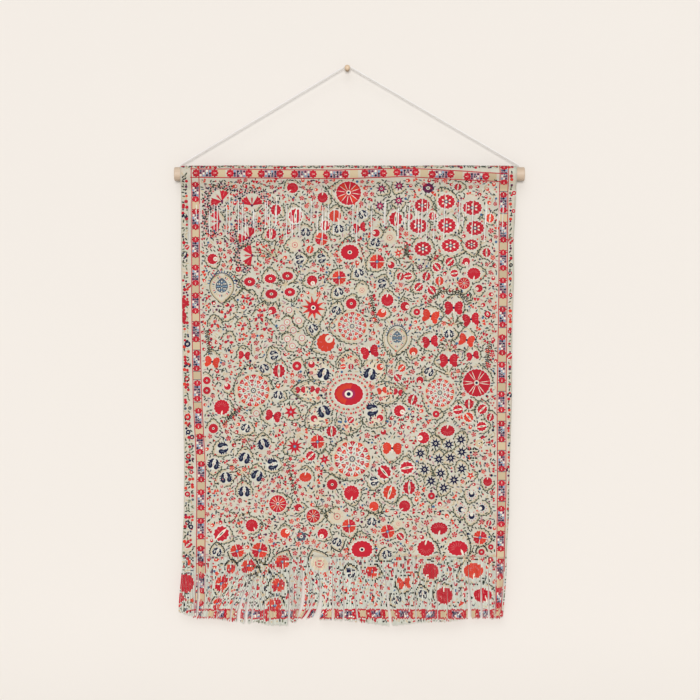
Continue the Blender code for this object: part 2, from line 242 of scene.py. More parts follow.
def sleeve_profile():
    """Middle line of the cloth from its sewn end behind, over the dowel, down to the panel."""
    r, top, seam = SLEEVE_MID, down(DOWEL_DOWN), down(SEAM_DOWN)
    line = []
    for k in range(97):
        turn = TURN_FRONT * (1 - 2 * k / 96.0)
        line.append((AXIS_Y - r * math.sin(turn), top + r * math.cos(turn)))
    (front_y, front_z), (back_y, back_z), hem_y = line[0], line[-1], AXIS_Y + CLOTH_T + 0.0002
    panel = [(AXIS_Y, down(SEAM_DOWN + 12 - k)) for k in range(12)]
    slope = [(along(front_y, AXIS_Y, k, 24.0), along(front_z, seam, k, 24.0)) for k in range(24, 0, -1)]
    back = [(along(back_y, hem_y, k, 24.0), along(back_z, seam, k, 24.0)) for k in range(1, 25)]
    hem = [(hem_y, down(SEAM_DOWN + k)) for k in range(1, 5)]
    whole = panel + slope + line + back + hem
    even, walked, target = [whole[0]], 0.0, PROFILE_STEP * CHART
    for a, b in zip(whole, whole[1:]):
        reach = math.hypot(b[0] - a[0], b[1] - a[1])
        while walked + reach >= target:
            t = (target - walked) / reach
            even.append((a[0] + (b[0] - a[0]) * t, a[1] + (b[1] - a[1]) * t))
            target += PROFILE_STEP * CHART
        walked += reach
    smooth, last = even, len(even) - 1
    for _ in range(3):
        near = [[smooth[min(max(i + d, 0), last)] for d in range(-5, 6)] for i in range(1, last)]
        inner = [tuple(sum(p[c] for p in spots) / 11 for c in (0, 1)) for spots in near]
        smooth = [smooth[0]] + inner + [smooth[-1]]
    return smooth


PROFILE = sleeve_profile()
PROFILE_START = SEAM_DOWN + 12
PROFILE_END = PROFILE_START - PROFILE_STEP * (len(PROFILE) - 1)
print("profile runs from", PROFILE_START, "to", round(PROFILE_END, 1))


def profile(v):
    """Middle line and the outward direction at a chart line."""
    if v >= PROFILE_START - 3:
        return AXIS_Y, down(v), -1.0, 0.0
    place = min(len(PROFILE) - 1.001, max(0.0, (PROFILE_START - v) / PROFILE_STEP))
    k = int(place)
    (y0, z0), (y1, z1) = PROFILE[k], PROFILE[min(k + 1, len(PROFILE) - 1)]
    t = place - k
    a, b = PROFILE[max(0, k - 3)], PROFILE[min(len(PROFILE) - 1, k + 4)]
    dy, dz = b[0] - a[0], b[1] - a[1]
    size = math.hypot(dy, dz) or 1.0
    return y0 + (y1 - y0) * t, z0 + (z1 - z0) * t, -dz / size, dy / size


def surface(u, v, height=0.0):
    """A point that stands height metres in front of the cloth's middle line."""
    y, z, ny, nz = profile(v)
    above = soft_step((SEAM_DOWN + 2 - v) / 9.0)
    reach = sag(u) * above + height
    y += fold(u, max(v, SEAM_DOWN)) * (1 - above)
    return Vector((across(u), y + ny * reach, z + nz * reach))


# %% [markdown]
# ## The woven panel
# It is one thin sheet: panel, sleeve and hem together, with real slits where the strands of the
# unwoven band stand apart. A grid laid on the surface gives even faces, the slits are cells left
# out, and Solidify gives the cloth its thickness and closes its rims.

# %% Cloth grid
COLUMN_WIDE = 3.6


def column_parts():
    left, right = edge(220, 0), edge(220, 1)
    parts = {0.0: 0, 1.0: 0}
    for number, (u, _, _) in enumerate(SLITS):
        middle = (u - left) / (right - left)
        half = SLIT_HALF / (right - left)
        parts[middle - half] = (-1, number)
        parts[middle + half] = (1, number)
    marks = sorted(parts)
    full = []
    for a, b in zip(marks, marks[1:]):
        gap = (b - a) * (right - left)
        count = max(1, math.ceil(gap / COLUMN_WIDE))
        full += [(a + (b - a) * k / count, parts[a] if k == 0 else 0) for k in range(count)]
    return full + [(1.0, 0)]


def slit_shift(mark, v):
    """How far a slit's lip moves sideways, so that the slit tapers to a point."""
    side, number = mark
    top, end = SLITS[number][1], SLITS[number][2]
    t = (v - top) / (end - top)
    open_part = 0.30 + 0.70 * math.sin(math.pi * t) ** 0.5 if 0 < t < 1 else 0.18
    return side * SLIT_HALF * (open_part - 1)


def make_panel():
    columns = column_parts()
    rows = [PROFILE_END + (SEAM_DOWN + 8 - PROFILE_END) * k / 84.0 for k in range(85)]
    rows += [float(v) for v in range(199, 245, 2)]
    rows += [245 + (STRIP_END - 245) * k / 70.0 for k in range(71)]
    verts, faces = [], []
    for v in rows:
        for part, mark in columns:
            u = edge(v, part)
            if mark:
                u += slit_shift(mark, v)
            verts.append(surface(u, v))
    wide = len(columns)
    for r in range(len(rows) - 1):
        middle = (rows[r] + rows[r + 1]) / 2
        for c in range(wide - 1):
            mark = columns[c][1]
            if mark and mark[0] == -1:
                slit = SLITS[mark[1]]
                if slit[1] < middle < slit[2]:
                    continue
            a = r * wide + c
            faces.append((a, a + wide, a + wide + 1, a + 1))
    made = make_piece("woven_panel", verts, faces)
    thick = made.modifiers.new("thickness", "SOLIDIFY")
    thick.thickness = CLOTH_T
    thick.offset = 0.0
    return made


def apply_modifiers(made):
    mesh = evaluated_mesh(made)
    made.modifiers.clear()
    made.data = mesh
    return made


panel = apply_modifiers(make_panel())
print("panel", count_triangles(panel), "triangles")

# %% [markdown]
# ## Drawing with thread
# Each flower is built from a few flat shapes: scalloped discs, leaves, rings and strokes. A shape
# has a layer, a thread colour and a stitch direction. The shapes are collected first, because the
# same list colours both the panel and the strands of the fringe.

# %% Thread colours
THREADS = {
    "crimson": (188, 26, 44), "scarlet": (212, 60, 40), "rose": (206, 108, 108), "magenta": (160, 38, 82),
    "plum": (96, 30, 72), "navy": (16, 20, 58), "blue": (56, 98, 136), "sky": (132, 164, 184),
    "olive": (20, 28, 26), "green": (56, 70, 52), "tan": (204, 184, 150), "cream": (232, 224, 206),
    "ground": (204, 205, 193), "slate": (84, 94, 108), "mauve": (184, 146, 150), "sand": (216, 203, 178),
    "pale": (214, 213, 201), "sage": (112, 116, 92),
}


def linear(channel):
    c = channel / 255.0
    return c / 12.92 if c <= 0.04045 else ((c + 0.055) / 1.055) ** 2.4


def thread(name):
    return tuple(linear(c) for c in THREADS[name]) + (1.0,)


TAU, QUARTER = 2 * math.pi, 1.57
UP, DOWN = -QUARTER, QUARTER
REDS = ("crimson", "scarlet")
shapes = []      # (layer, colour name, points, stitch turn)
keep_clear = []  # (across, down, radius) of each motif


def add_shape(layer, colour, points, turn=0.0):
    shapes.append((layer, colour, points, turn))


def polar(u, v, ru, rv, a):
    """The place at angle a on an oval round u, v."""
    return u + ru * math.cos(a), v + rv * math.sin(a)


def swing(u, v, x, y, turn):
    """The place x, y of a motif that stands at u, v and is turned."""
    ca, sa = math.cos(turn), math.sin(turn)
    return u + x * ca - y * sa, v + x * sa + y * ca


def turns(count, lead=0.0):
    """Even directions round a flower."""
    return [TAU * (k + lead) / count for k in range(count)]


def rim(u, v, ru, rv, turn=0.0, lobes=0, depth=0.0):
    count = lobes * 4 if lobes else max(9, int(5 + 2.0 * max(ru, rv)))
    points = []
    for k in range(count):
        a = TAU * k / count
        r = 1 - depth * (0.5 - 0.5 * math.cos(lobes * a)) if lobes else 1.0
        points.append(swing(u, v, ru * r * math.cos(a), rv * r * math.sin(a), turn))
    return points


def disc(layer, colour, u, v, ru, rv=None, turn=0.0, lobes=0, depth=0.0):
    add_shape(layer, colour, rim(u, v, ru, rv or ru, turn, lobes, depth), turn)


def leaf(layer, colour, u, v, length, width, turn):
    """A pointed leaf whose middle is at u, v."""
    outline = ((-0.5, 0), (-0.2, 0.42), (0.18, 0.42), (0.5, 0), (0.18, -0.42), (-0.2, -0.42))
    add_shape(layer, colour, [swing(u, v, x * length, y * width, turn) for x, y in outline], turn)


def stroke(layer, colour, path, width, taper=0.35):
    """A narrow stitched line along a path, laid as short pieces."""
    last = len(path) - 1
    for k in range(last):
        (x0, y0), (x1, y1) = path[k], path[k + 1]
        dx, dy = x1 - x0, y1 - y0
        reach = math.hypot(dx, dy) or 1.0
        nx, ny = -dy / reach, dx / reach
        w0 = width / 2 * (1 - (1 - taper) * abs(2 * k / last - 1) ** 2)
        w1 = width / 2 * (1 - (1 - taper) * abs(2 * (k + 1) / last - 1) ** 2)
        add_shape(layer, colour, [
            (x0 + nx * w0, y0 + ny * w0), (x0 - nx * w0, y0 - ny * w0),
            (x1 - nx * w1, y1 - ny * w1), (x1 + nx * w1, y1 + ny * w1),
        ], math.atan2(dy, dx))


def arc(u, v, ru, rv, start, end, count=8):
    return [polar(u, v, ru, rv, along(start, end, k, count)) for k in range(count + 1)]


def ogive(u, v, r, tip, span, count=20):
    """An arc round a flower that rises to a point in the direction of its tip."""
    path = []
    for k in range(count + 1):
        a = span * (2 * k / count - 1)
        reach = r * (1 + 0.46 * math.exp(-abs(a) / 0.34))
        path.append(polar(u, v, reach, reach, tip + a))
    return path


def guard(u, v, r):
    keep_clear.append((u, v, r))


def room_at(u, v, skip=None):
    """Free distance to the nearest motif."""
    return min(math.hypot(u - spot[0], v - spot[1]) - spot[2] for spot in keep_clear if spot is not skip)


# %% Flower motifs
WINGS = (  # reach, rise, half sizes, lean, bumps
    (0.50, -0.14, 0.46, 0.78, 0.5, 11), (0.60, 0.46, 0.34, 0.46, -0.5, 7),
)
SPRAY = ("plum", "navy", "rose", "olive", "mauve")


def ring_flower(u, v, ru, rv):
    guard(u, v, max(ru, rv))
    disc(1, "pale", u, v, ru * 1.08, rv * 1.08, 0, 12, 0.05)
    disc(2, "crimson", u, v, ru, rv, 0, 14, 0.12)
    if ru > 6.6:
        for a in turns(6, 0.5):
            leaf(3, "cream", *polar(u, v, ru * 0.44, rv * 0.44, a), ru * 0.3, ru * 0.2, a)
        for a in turns(10):
            leaf(3, "rose", *polar(u, v, ru * 0.8, rv * 0.8, a), ru * 0.22, ru * 0.06, a)
        disc(4, "slate", u, v, ru * 0.26, rv * 0.26)
        disc(5, "cream", u, v, ru * 0.12, rv * 0.12)
    else:
        disc(3, "cream", u, v, ru * 0.27, rv * 0.27)
        disc(4, "olive", u, v, ru * 0.12)


def disc_flower(u, v, ru, rv):
    guard(u, v, max(ru, rv))
    disc(1, "pale", u, v, ru * 1.07, rv * 1.07, 0, 16, 0.05)
    disc(2, "crimson", u, v, ru, rv, 0, 16, 0.09)
    disc(3, "cream", u, v, ru * 0.24, rv * 0.24)
    disc(4, "navy", u, v, ru * 0.13)
    if ru > 7:
        for k, a in enumerate(turns(14)):
            petal(2, REDS[k % 2], *polar(u, v, ru + 1.9, rv + 1.9, a), 3.0, 0.42, a + 0.5)
            leaf(2, "olive", *polar(u, v, ru + 3.6, rv + 3.4, a + 0.2), 2.6, 1.0, a + 0.9)


def wheel(u, v, r):
    guard(u, v, r)
    spokes, paired = 12 if r > 8 else 10, r > 13
    disc(1, "pale", u, v, r * 1.06, r * 1.06)
    disc(2, "crimson", u, v, r, r, 0, spokes * 2, 0.05)
    for k in range(spokes):
        a = TAU * (k // 2) / (spokes / 2) + (0.14, -0.14)[k % 2] if paired else TAU * (k + 0.3) / spokes
        leaf(4, "cream", *polar(u, v, r * 0.56, r * 0.56, a), r * 0.76, r * 0.055, a)
        if k % 3 == 1 and not paired:
            petal(3, "scarlet", u, v, r * 0.93, TAU / spokes * 0.42, a + TAU / spokes * 0.5)
    disc(4, "cream", u, v, r * 0.19)
    disc(5, "navy", u, v, r * 0.1)


def fan(u, v, ru, rv, colour="crimson", turn=UP):
    guard(u, v, max(ru, rv))
    disc(1, "pale", u, v, ru * 1.07, rv * 1.07, 0, 15, 0.05)
    disc(2, colour, u, v, ru, rv, 0, 15, 0.11)
    leaf(3, "cream", *polar(u, v, ru * 0.72, rv * 0.72, turn), ru * 0.72, ru * 0.22, turn + 0.25)
    for k in range(-3, 4):
        a = turn + math.pi + k * 0.42
        leaf(3, "rose", *polar(u, v, ru * 0.5, rv * 0.5, a), ru * 0.5, ru * 0.045, a)


def split(u, v, r, colour, turn):
    guard(u, v, r)
    tall, bar = r * 1.08, turn + QUARTER
    disc(1, "pale", u, v, r * 1.13, tall * 1.13, turn)
    disc(2, colour, u, v, r, tall, turn, 11, 0.16)
    leaf(3, "cream", u, v, tall * 2.0, r * 0.42, bar)
    leaf(4, "green", u, v, r * 0.8, r * 0.16, bar)
    for side in (-1, 1):
        leaf(3, "rose", *polar(u, v, side * r * 0.55, side * r * 0.55, turn), r * 0.5, r * 0.1, turn)


def butterfly(u, v, ru, rv, colour, turn):
    guard(u, v, max(ru, rv) * 0.92)
    for side in (-1, 1):
        for reach, rise, wide, tall, lean, bumps in WINGS:
            cu, cv = swing(u, v, side * ru * reach, rv * rise, turn)
            disc(1, "pale", cu, cv, ru * wide * 1.1, rv * tall * 1.08, turn + side * lean)
            disc(2, colour, cu, cv, ru * wide, rv * tall, turn + side * lean, bumps, 0.14)
        cu, cv = polar(u, v, side * ru * 0.6, side * ru * 0.6, turn)
        for k in (-1, 0, 1):
            lean = turn + side * (0.3 * k + 0.2)
            leaf(3, "rose", cu, cv - rv * (0.14 + 0.3 * k), ru * 0.4, ru * 0.05, lean)
    leaf(3, "cream", u, v, rv * 1.7, ru * 0.17, turn + QUARTER)
    disc(4, "navy", u, v, ru * 0.12, rv * 0.16, turn)


def petal(layer, colour, u, v, reach, wide, turn):
    """A petal that opens from a point to a toothed end."""
    points = [(u, v)]
    for k in range(7):
        r = reach * (1.0 if k % 2 == 0 else 0.88)
        points.append(polar(u, v, r, r, turn + wide * (k / 3.0 - 1)))
    add_shape(layer, colour, points, turn)


def carnation(u, v, turn, r=7.9):
    guard(u, v, r)
    bu, bv = polar(u, v, -r * 0.62, -r * 0.62, turn)
    for ring, reach in enumerate((1.66, 1.9, 2.14, 2.36)):
        for k in range(15):
            a = turn + (k - 7) * 0.2 + ring * 0.1
            disc(2, SPRAY[(k + 2 * ring) % 5], *polar(bu, bv, r * reach, r * reach, a), r * 0.125)
    for k in (-1, 0, 1):
        a = turn + k * 0.98
        petal(2, "crimson", bu, bv, r * (1.45 if k else 1.0), 0.44 if k else 0.15, a)
        leaf(3, "rose", *polar(bu, bv, r * 0.95, r * 0.95, a), r * 0.6, r * 0.07, a)
    disc(3, "plum", bu, bv, r * 0.17)


def navy_pair(u, v, r, turn):
    guard(u, v, r)
    ca, sa = math.cos(turn), math.sin(turn)

    def at(x, y):
        return u + (x * ca - y * sa) * r, v + (x * sa + y * ca) * r

    disc(1, "pale", u, v, r * 0.98, r * 0.92)
    for side in (-1, 1):
        disc(2, "navy", *at(side * 0.48, 0.32), r * 0.37, r * 0.45, turn + side * 0.2)
        leaf(2, "navy", *at(side * 0.52, -0.2), r * 1.25, r * 0.56, turn + QUARTER - side * 0.22)
        leaf(2, "navy", *at(side * 0.36, -0.66), r * 0.62, r * 0.3, turn + side * 0.5)
        for y in (-0.36, 0.0, 0.36):
            lean = turn + side * 0.35 * (1 if y < 0.3 else -1)
            leaf(2, "navy", *at(side * 0.86, y), r * 0.38, r * 0.2, lean)
        if r > 4.5:
            inner = "slate" if r > 6 else "pale"
            leaf(3, inner, *at(side * 0.5, 0.12), r * 0.72, r * 0.24, turn + QUARTER)
    for y in (-0.36, 0.0, 0.36):
        leaf(2, "tan" if y else "crimson", *at(0, y), r * 0.26, r * 0.15, turn + QUARTER)


def navy_crescent(u, v, opening, r=5.4):
    guard(u, v, r)
    disc(1, "pale", u, v, r * 0.9)
    for k in range(11):
        a = opening + 0.5 + (TAU - 1.0) * k / 10
        leaf(2, ("rose", "mauve")[k % 2], *polar(u, v, r * 0.84, r * 0.84, a), r * 0.3, r * 0.22, a)
    disc(2, "navy", u, v, r * 0.58, None, 0, 9, 0.08)
    disc(3, "cream", *polar(u, v, r * 0.3, r * 0.3, opening), r * 0.33)


def four_lobe(u, v, r):
    guard(u, v, r)
    for k in range(4):
        a = TAU * (k + 0.5) / 4 + 0.25 * math.sin(u)
        petal(2, REDS[1 - k % 2], u, v, r * 1.04, 0.69, a)
        leaf(3, "rose", *polar(u, v, r * 0.66, r * 0.66, a), r * 0.4, r * 0.08, a)
        leaf(3, "cream", *polar(u, v, r * 0.42, r * 0.42, a + 0.785), r * 0.3, r * 0.12, a + 0.785)
    disc(4, "blue", u, v, r * 0.25, r * 0.25, 0, 4, 0.3)
    disc(5, "sky", u, v, r * 0.13)


def c_disc(u, v, r, colour, turn):
    guard(u, v, r)
    disc(1, "pale", u, v, r * 1.1, r * 1.1)
    disc(2, colour, u, v, r, r, turn, 13, 0.1)
    disc(3, "cream", *polar(u, v, r * 0.52, r * 0.52, turn), r * 0.42, r * 0.42)
    leaf(4, "rose", *polar(u, v, r * 0.5, r * 0.5, turn), r * 0.5, r * 0.18, turn)
    for k in (-2, 0, 2):
        a = turn + math.pi + k * 0.5
        leaf(3, "rose", *polar(u, v, r * 0.56, r * 0.56, a), r * 0.4, r * 0.06, a)


def spike(layer, colour, u, v, reach, wide, turn):
    """A straight point, wide at the eye and sharp at its tip."""
    corners = ((reach, 0), (0, wide), (0, -wide))
    add_shape(layer, colour, [swing(u, v, x, y, turn) for x, y in corners], turn)


def star(u, v, r, points=8, colour="crimson", tip=None, eye="cream"):
    guard(u, v, r * 0.86)
    wide = r * 1.9 / points
    for a in turns(points, 0.25):
        spike(2, colour, *polar(u, v, r * 0.22, r * 0.22, a), r * 0.82, wide, a)
        if tip:
            spike(3, tip, *polar(u, v, r * 0.5, r * 0.5, a), r * 0.5, wide * 0.6, a)
    disc(2, colour, u, v, r * 0.42)
    disc(3, eye, u, v, r * 0.2)
    if r > 4.5:
        disc(4, "navy" if eye == "cream" else "slate" if colour == "navy" else "sky", u, v, r * 0.11)


def bud(u, v, r=2.2, colour="crimson"):
    """One of three kinds of small flower: a cup, a five-petalled one or a pair of petals."""
    kind, turn = int(u * 7 + v * 3) % 3, u + v
    if kind == 0:
        disc(2, colour, u, v, r, r * 0.86, turn, 6, 0.2)
        disc(3, "cream", *polar(u, v, r * 0.34, r * 0.34, turn), r * 0.36)
    elif kind == 1:
        for k in range(5):
            petal(2, colour, u, v, r * 1.1, 0.42, turn + TAU * k / 5)
        disc(3, "rose", u, v, r * 0.3)
    else:
        for side in (-1, 1):
            petal(2, colour, u, v, r * 1.25, 0.7, turn + side * 0.95)
        leaf(2, "olive", *polar(u, v, -r * 0.7, -r * 0.7, turn), r * 1.1, r * 0.4, turn)


def cluster(u, v, r, colour):
    """A ragged spray of small petals round a dark seed."""
    guard(u, v, r)
    for k in range(6):
        a = TAU * k / 6 + 0.4 * math.sin(u + 3 * k)
        reach = r * (0.62 + 0.16 * math.sin(v + 5 * k))
        tone = ("crimson", colour, "crimson", "crimson", colour, "rose")[k]
        leaf(2, tone, *polar(u, v, reach, reach, a), r * 0.78, r * 0.46, a)
        leaf(2, "olive", *polar(u, v, r * 1.02, r * 1.02, a + 0.5), r * 0.42, r * 0.2, a)
    disc(3, "plum", u, v, r * 0.2)


def dotted_rosette(u, v, r):
    guard(u, v, r)
    disc(0, "tan", u, v, r, r, 0, 13, 0.07)
    disc(1, "pale", u, v, r * 0.94, r * 0.94, 0, 13, 0.07)
    for ring, count, size, first, second in (
        (0.80, 13, 0.135, "scarlet", "crimson"), (0.53, 9, 0.12, "crimson", "scarlet"),
        (0.31, 6, 0.085, "crimson", "rose"),
    ):
        inner = r * (ring - size)
        for k, a in enumerate(turns(count, ring)):
            b = a + TAU / count / 2
            petal(2, (first, second)[k % 2], *polar(u, v, inner, inner, a), r * size * 2.2, 0.62, a)
            leaf(3, "pale", *polar(u, v, r * ring, r * ring, a), r * size * 1.2, r * 0.03, a)
            leaf(2, "olive", *polar(u, v, r * ring, r * ring, b), r * 0.16, r * 0.05, b)
            leaf(1, "tan", *polar(u, v, r * (ring + 0.1), r * (ring + 0.1), b), r * 0.12, r * 0.08, b)
    disc(2, "tan", u, v, r * 0.2)
    disc(3, "slate", u, v, r * 0.165, None, 0, 6, 0.15)
    disc(4, "cream", u, v, r * 0.085)
    disc(5, "navy", u, v, r * 0.04)


def paisley(u, v, ru, rv):
    guard(u, v, max(ru, rv) * 1.1)
    stroke(1, "tan", ogive(u, v, ru * 1.02, DOWN, 2.9, 26), 1.5, 1.0)
    stroke(2, "green", ogive(u, v, ru * 1.1, DOWN, 2.9, 26), 0.6, 1.0)
    for k, a in enumerate(turns(28)):
        tone = ("rose", "tan", "tan", "slate")[k % 4]
        leaf(2, tone, *polar(u, v, ru * 0.78, rv * 0.78, a), ru * 0.26, ru * 0.12, a)
    add_shape(2, "slate", ogive(u, v, ru * 0.56, UP, math.pi, 18)[:-1])
    for ring, count in ((0.13, 4), (0.29, 8), (0.42, 12)):
        for k, a in enumerate(turns(count)):
            disc(3, ("sky", "cream")[k % 2], *polar(u, v, ru * ring, rv * ring, a), ru * 0.06)
    for k in range(15):
        a = math.pi + 0.2 + (math.pi - 0.4) * k / 14
        leaf(2, "blue", *polar(u, v, ru * 1.24, rv * 1.24, a), ru * 0.26, ru * 0.1, a)
    stroke(2, "navy", arc(u, v, ru * 1.13, rv * 1.13, math.pi + 0.2, TAU - 0.2, 12), 0.8, 0.8)


def medallion(u, v, ru, rv):
    guard(u, v, max(ru, rv))
    disc(1, "sand", u, v, ru, rv, 0, 9, 0.05)
    for a in turns(9):
        leaf(2, "rose", *polar(u, v, ru * 0.36, rv * 0.36, a), ru * 0.22, ru * 0.1, a)
        leaf(2, "tan", *polar(u, v, ru * 0.72, rv * 0.72, a), ru * 0.34, ru * 0.05, a)
    disc(2, "rose", u, v, ru * 0.5, rv * 0.5)
    disc(3, "sand", u, v, ru * 0.4, rv * 0.4)
    disc(4, "crimson", u, v, ru * 0.14)


def comb(path):
    """A toothed line with a berry at every other step."""
    stroke(1, "tan", path, 1.5, 0.7)
    stroke(2, "olive", path, 0.7, 0.6)
    for k in range(len(path) - 1):
        (x0, y0), (x1, y1) = path[k], path[k + 1]
        a = math.atan2(y1 - y0, x1 - x0)
        for part in (0.0, 0.5):
            x, y = x0 + (x1 - x0) * part, y0 + (y1 - y0) * part
            for b in (a - 1.0, a + 1.0):
                leaf(2, "olive", *polar(x, y, 1.7, 1.7, b), 2.8, 1.2, b)
        if k % 2 == 0:
            disc(2, "crimson", *polar(x0, y0, 3.3, 3.3, a - 1.3), 1.4)


def ring_mark(u, v, r, colour):
    disc(1, "pale", u, v, r * 1.2)
    disc(2, colour, u, v, r, r, 0, 9, 0.14)
    disc(3, "cream", u, v, r * 0.34)
    disc(4, "navy", u, v, r * 0.15)


# %% [markdown]
# ## Placing the flowers
# The field is crowded and uneven, like a sampler of many small flowers. Each table gives where a
# kind of flower stands and how big it is. These are common suzani forms, drawn by the functions
# above, so no flower copies another's outline from anywhere.

# %% Large flowers of the field
WHEELS = [(348.6, 192.6, 12.7), (277.9, 503.5, 8.8), (313.2, 516, 7), (476.5, 382.8, 14), (463.9, 283.3, 6)]
DISCS = [
    (349.8, 252.3, 9.5, 8), (362, 549.5, 11, 9), (351.3, 303.6, 5.7, 5.7), (332.2, 484.6, 5.7, 5.7),
    (213.3, 428.5, 5, 5), (416.8, 312, 3.6, 3.6), (238.3, 269.2, 3, 3), (206.8, 390.5, 4, 4),
    (206.8, 380.5, 4, 4), (436, 414, 3.7, 3.7), (431.4, 495.8, 3.8, 3.8),
]
RINGS = [
    (422.2, 205.4, 8, 7), (446.3, 201.7, 9, 7.5), (472.3, 207.9, 10, 7.5), (418.7, 226, 9.5, 7.5),
    (446.7, 225.5, 9.5, 8), (475, 228.1, 9.5, 7.5), (422.9, 248.8, 9, 7.5), (450.5, 245.7, 9.5, 7),
    (471.5, 244.6, 7, 5.5), (249.7, 281.8, 6.2, 4.8), (270.4, 278.7, 6.2, 4.8), (287.6, 276, 6, 4.6),
    (271.5, 294, 6.5, 5), (289.9, 292.1, 5.8, 4.5), (297, 366, 5, 5), (481.5, 552, 3.5, 3.5),
    (490.8, 547, 3, 3), (490.6, 560, 3, 3),
]
FANS = [
    (473.8, 273.7, 7, 6.3), (387.3, 300, 6.5, 6.5), (335.2, 216, 6.3, 6.3), (292.6, 187.6, 6, 6),
    (221.7, 407.3, 8, 8), (322.6, 197.5, 5.5, 5.5), (251.9, 525.2, 6.5, 6.5), (373.9, 506.3, 5, 5),
    (439, 528.3, 9, 6.5), (425.8, 548, 9, 8.3), (457.5, 547.8, 10.5, 7.8), (430.4, 570.7, 8.3, 8.3),
    (473.3, 570.7, 10.5, 8), (443.2, 595.2, 9, 9), (481.7, 595.2, 10.5, 7), (404.6, 506, 6, 6),
    (351.5, 493, 8, 8), (305.5, 477, 6.5, 5),
]
BUTTERFLIES = [
    (453.6, 307.8, 9.5, 8), (430.6, 316.2, 8.5, 7.5), (470.8, 319.3, 8.5, 7.5), (430.2, 341.5, 8, 7),
    (466.6, 340, 8, 7), (448.6, 360.2, 9.5, 8), (472.7, 355.6, 6.5, 5), (212.1, 361.8, 7.5, 6.5),
    (244.3, 355.2, 6, 5), (369.7, 351.8, 9, 7.5), (392.2, 448.2, 10, 6.8), (273.3, 415.7, 8, 6.5),
    (359.7, 227.4, 6, 6), (403, 583, 6.5, 7), (315, 389.7, 5, 4), (300.6, 389.7, 5, 4),
    (382, 390.5, 5, 4), (398, 392, 4.5, 4),
]
for u, v, r in WHEELS:
    wheel(u, v, r)
for u, v, ru, rv in DISCS:
    disc_flower(u, v, ru, rv)
for u, v, ru, rv in RINGS:
    ring_flower(u, v, ru, rv)
for n, (u, v, ru, rv) in enumerate(FANS):
    fan(u, v, ru, rv, REDS[n % 5 == 2], (DOWN, UP, 0.9, 2.3)[n % 4])
for n, (u, v, ru, rv) in enumerate(BUTTERFLIES):
    butterfly(u, v, ru, rv, REDS[n % 3 == 1], 0.25 * math.sin(n * 1.9))
print("large flowers", len(keep_clear))

# %% Middle-sized flowers of the field
CARNATIONS = [  # across, down, direction of the petals
    (218.7, 197.5, -2.3), (252, 200.6, UP), (215, 221.5, 3.14), (246.4, 234, -2.2), (247.5, 255.5, 3.14),
]
SPLITS = [
    (275.9, 210, 5.5), (271.4, 234, 5.5), (295.5, 216, 7), (310, 249.6, 4), (325.3, 225.5, 5),
    (395.7, 219, 7),
    (409.5, 216.7, 3.5), (432.5, 216, 4), (457.8, 186.4, 4), (489.9, 218.2, 4.5), (486.5, 252.6, 4.5),
    (449.7, 261.9, 4.5), (436.7, 267.2, 4.5), (426.4, 276.4, 4.5), (454.3, 273.4, 4), (439.4, 281, 4.5),
    (418.7, 287, 4.5), (431.8, 290.2, 4.5), (400.4, 276.5, 4), (408, 276, 4), (279, 371, 6.5),
    (401.7, 368, 4), (397.5, 377.8, 4), (412.6, 399.6, 5.3), (457.8, 409.6, 5), (468.9, 403.8, 5),
    (482.2, 409.2, 5), (468.5, 417.2, 5), (490.3, 417.2, 4), (481.5, 426.4, 5), (331.5, 431.3, 5.5),
    (310.8, 455.9, 5), (384.1, 472, 7), (389.7, 492.4, 7), (406.9, 467.8, 6.5), (409.2, 487.7, 6.5),
    (221.3, 533.7, 7.7), (400.3, 536.5, 4), (488.8, 523, 3), (343, 366.6, 3), (351, 366.6, 3),
    (350.8, 420, 3.5),
]
CRESCENTS = [
    (212.6, 259, 5.5), (312.1, 280.6, 5.5), (272.3, 310.5, 4.3), (391.1, 265, 3.7), (381.9, 313.1, 4.7),
    (404.9, 306.3, 4.8), (466.2, 261.5, 4), (478.8, 288.3, 4), (227.4, 386.6, 3.5), (325.9, 342.7, 9.5),
    (399.6, 410.8, 6), (419.9, 380.1, 3.8), (423.3, 437.6, 6.2), (383.4, 432, 3), (285.2, 532.9, 5),
    (298.4, 507.5, 4), (322.7, 533.7, 5.5), (376, 233, 4), (311.5, 364.5, 3.6), (380, 367, 3.6),
    (314, 418.5, 3.6), (380, 418, 3.6),
]
FOUR_LOBES = [
    (321.5, 239, 6.5), (377, 261.7, 7.5), (339.1, 277.6, 7), (317.5, 441.8, 7), (349, 526, 7),
    (387.6, 531.6, 7),
    (480, 537.5, 7), (237.2, 551, 7), (259.8, 550.2, 8), (248.7, 566, 7), (231.5, 569, 5),
    (282.5, 561.6, 7),
    (223.7, 583.8, 8), (278.7, 585, 7), (223.7, 603.8, 6), (275.9, 605, 7), (371.8, 571.8, 6),
]
PAIRS = [
    (305.7, 232.4), (299.5, 259.5), (339, 229), (362.8, 214.4), (375.5, 242.5), (321.5, 258.4), (359, 273),
    (338.7, 292), (336.4, 310.5), (381.9, 283.3), (313.2, 328.4), (449, 334), (429, 371.7), (274, 355.2),
    (264.2, 368.3), (278.3, 395), (245.8, 428), (222.8, 448), (263.4, 444), (244.7, 458), (213.7, 464),
    (272.6, 464), (225.9, 477.8), (257.3, 475.5), (244.3, 491.6), (374, 481), (371.8, 521.8), (337, 542),
    (386.9, 554.5), (350.6, 573), (323.8, 374), (370, 374), (323.8, 411.5), (372, 410), (217.1, 552),
    (420.9, 594),
    (393.5, 599.7),
]
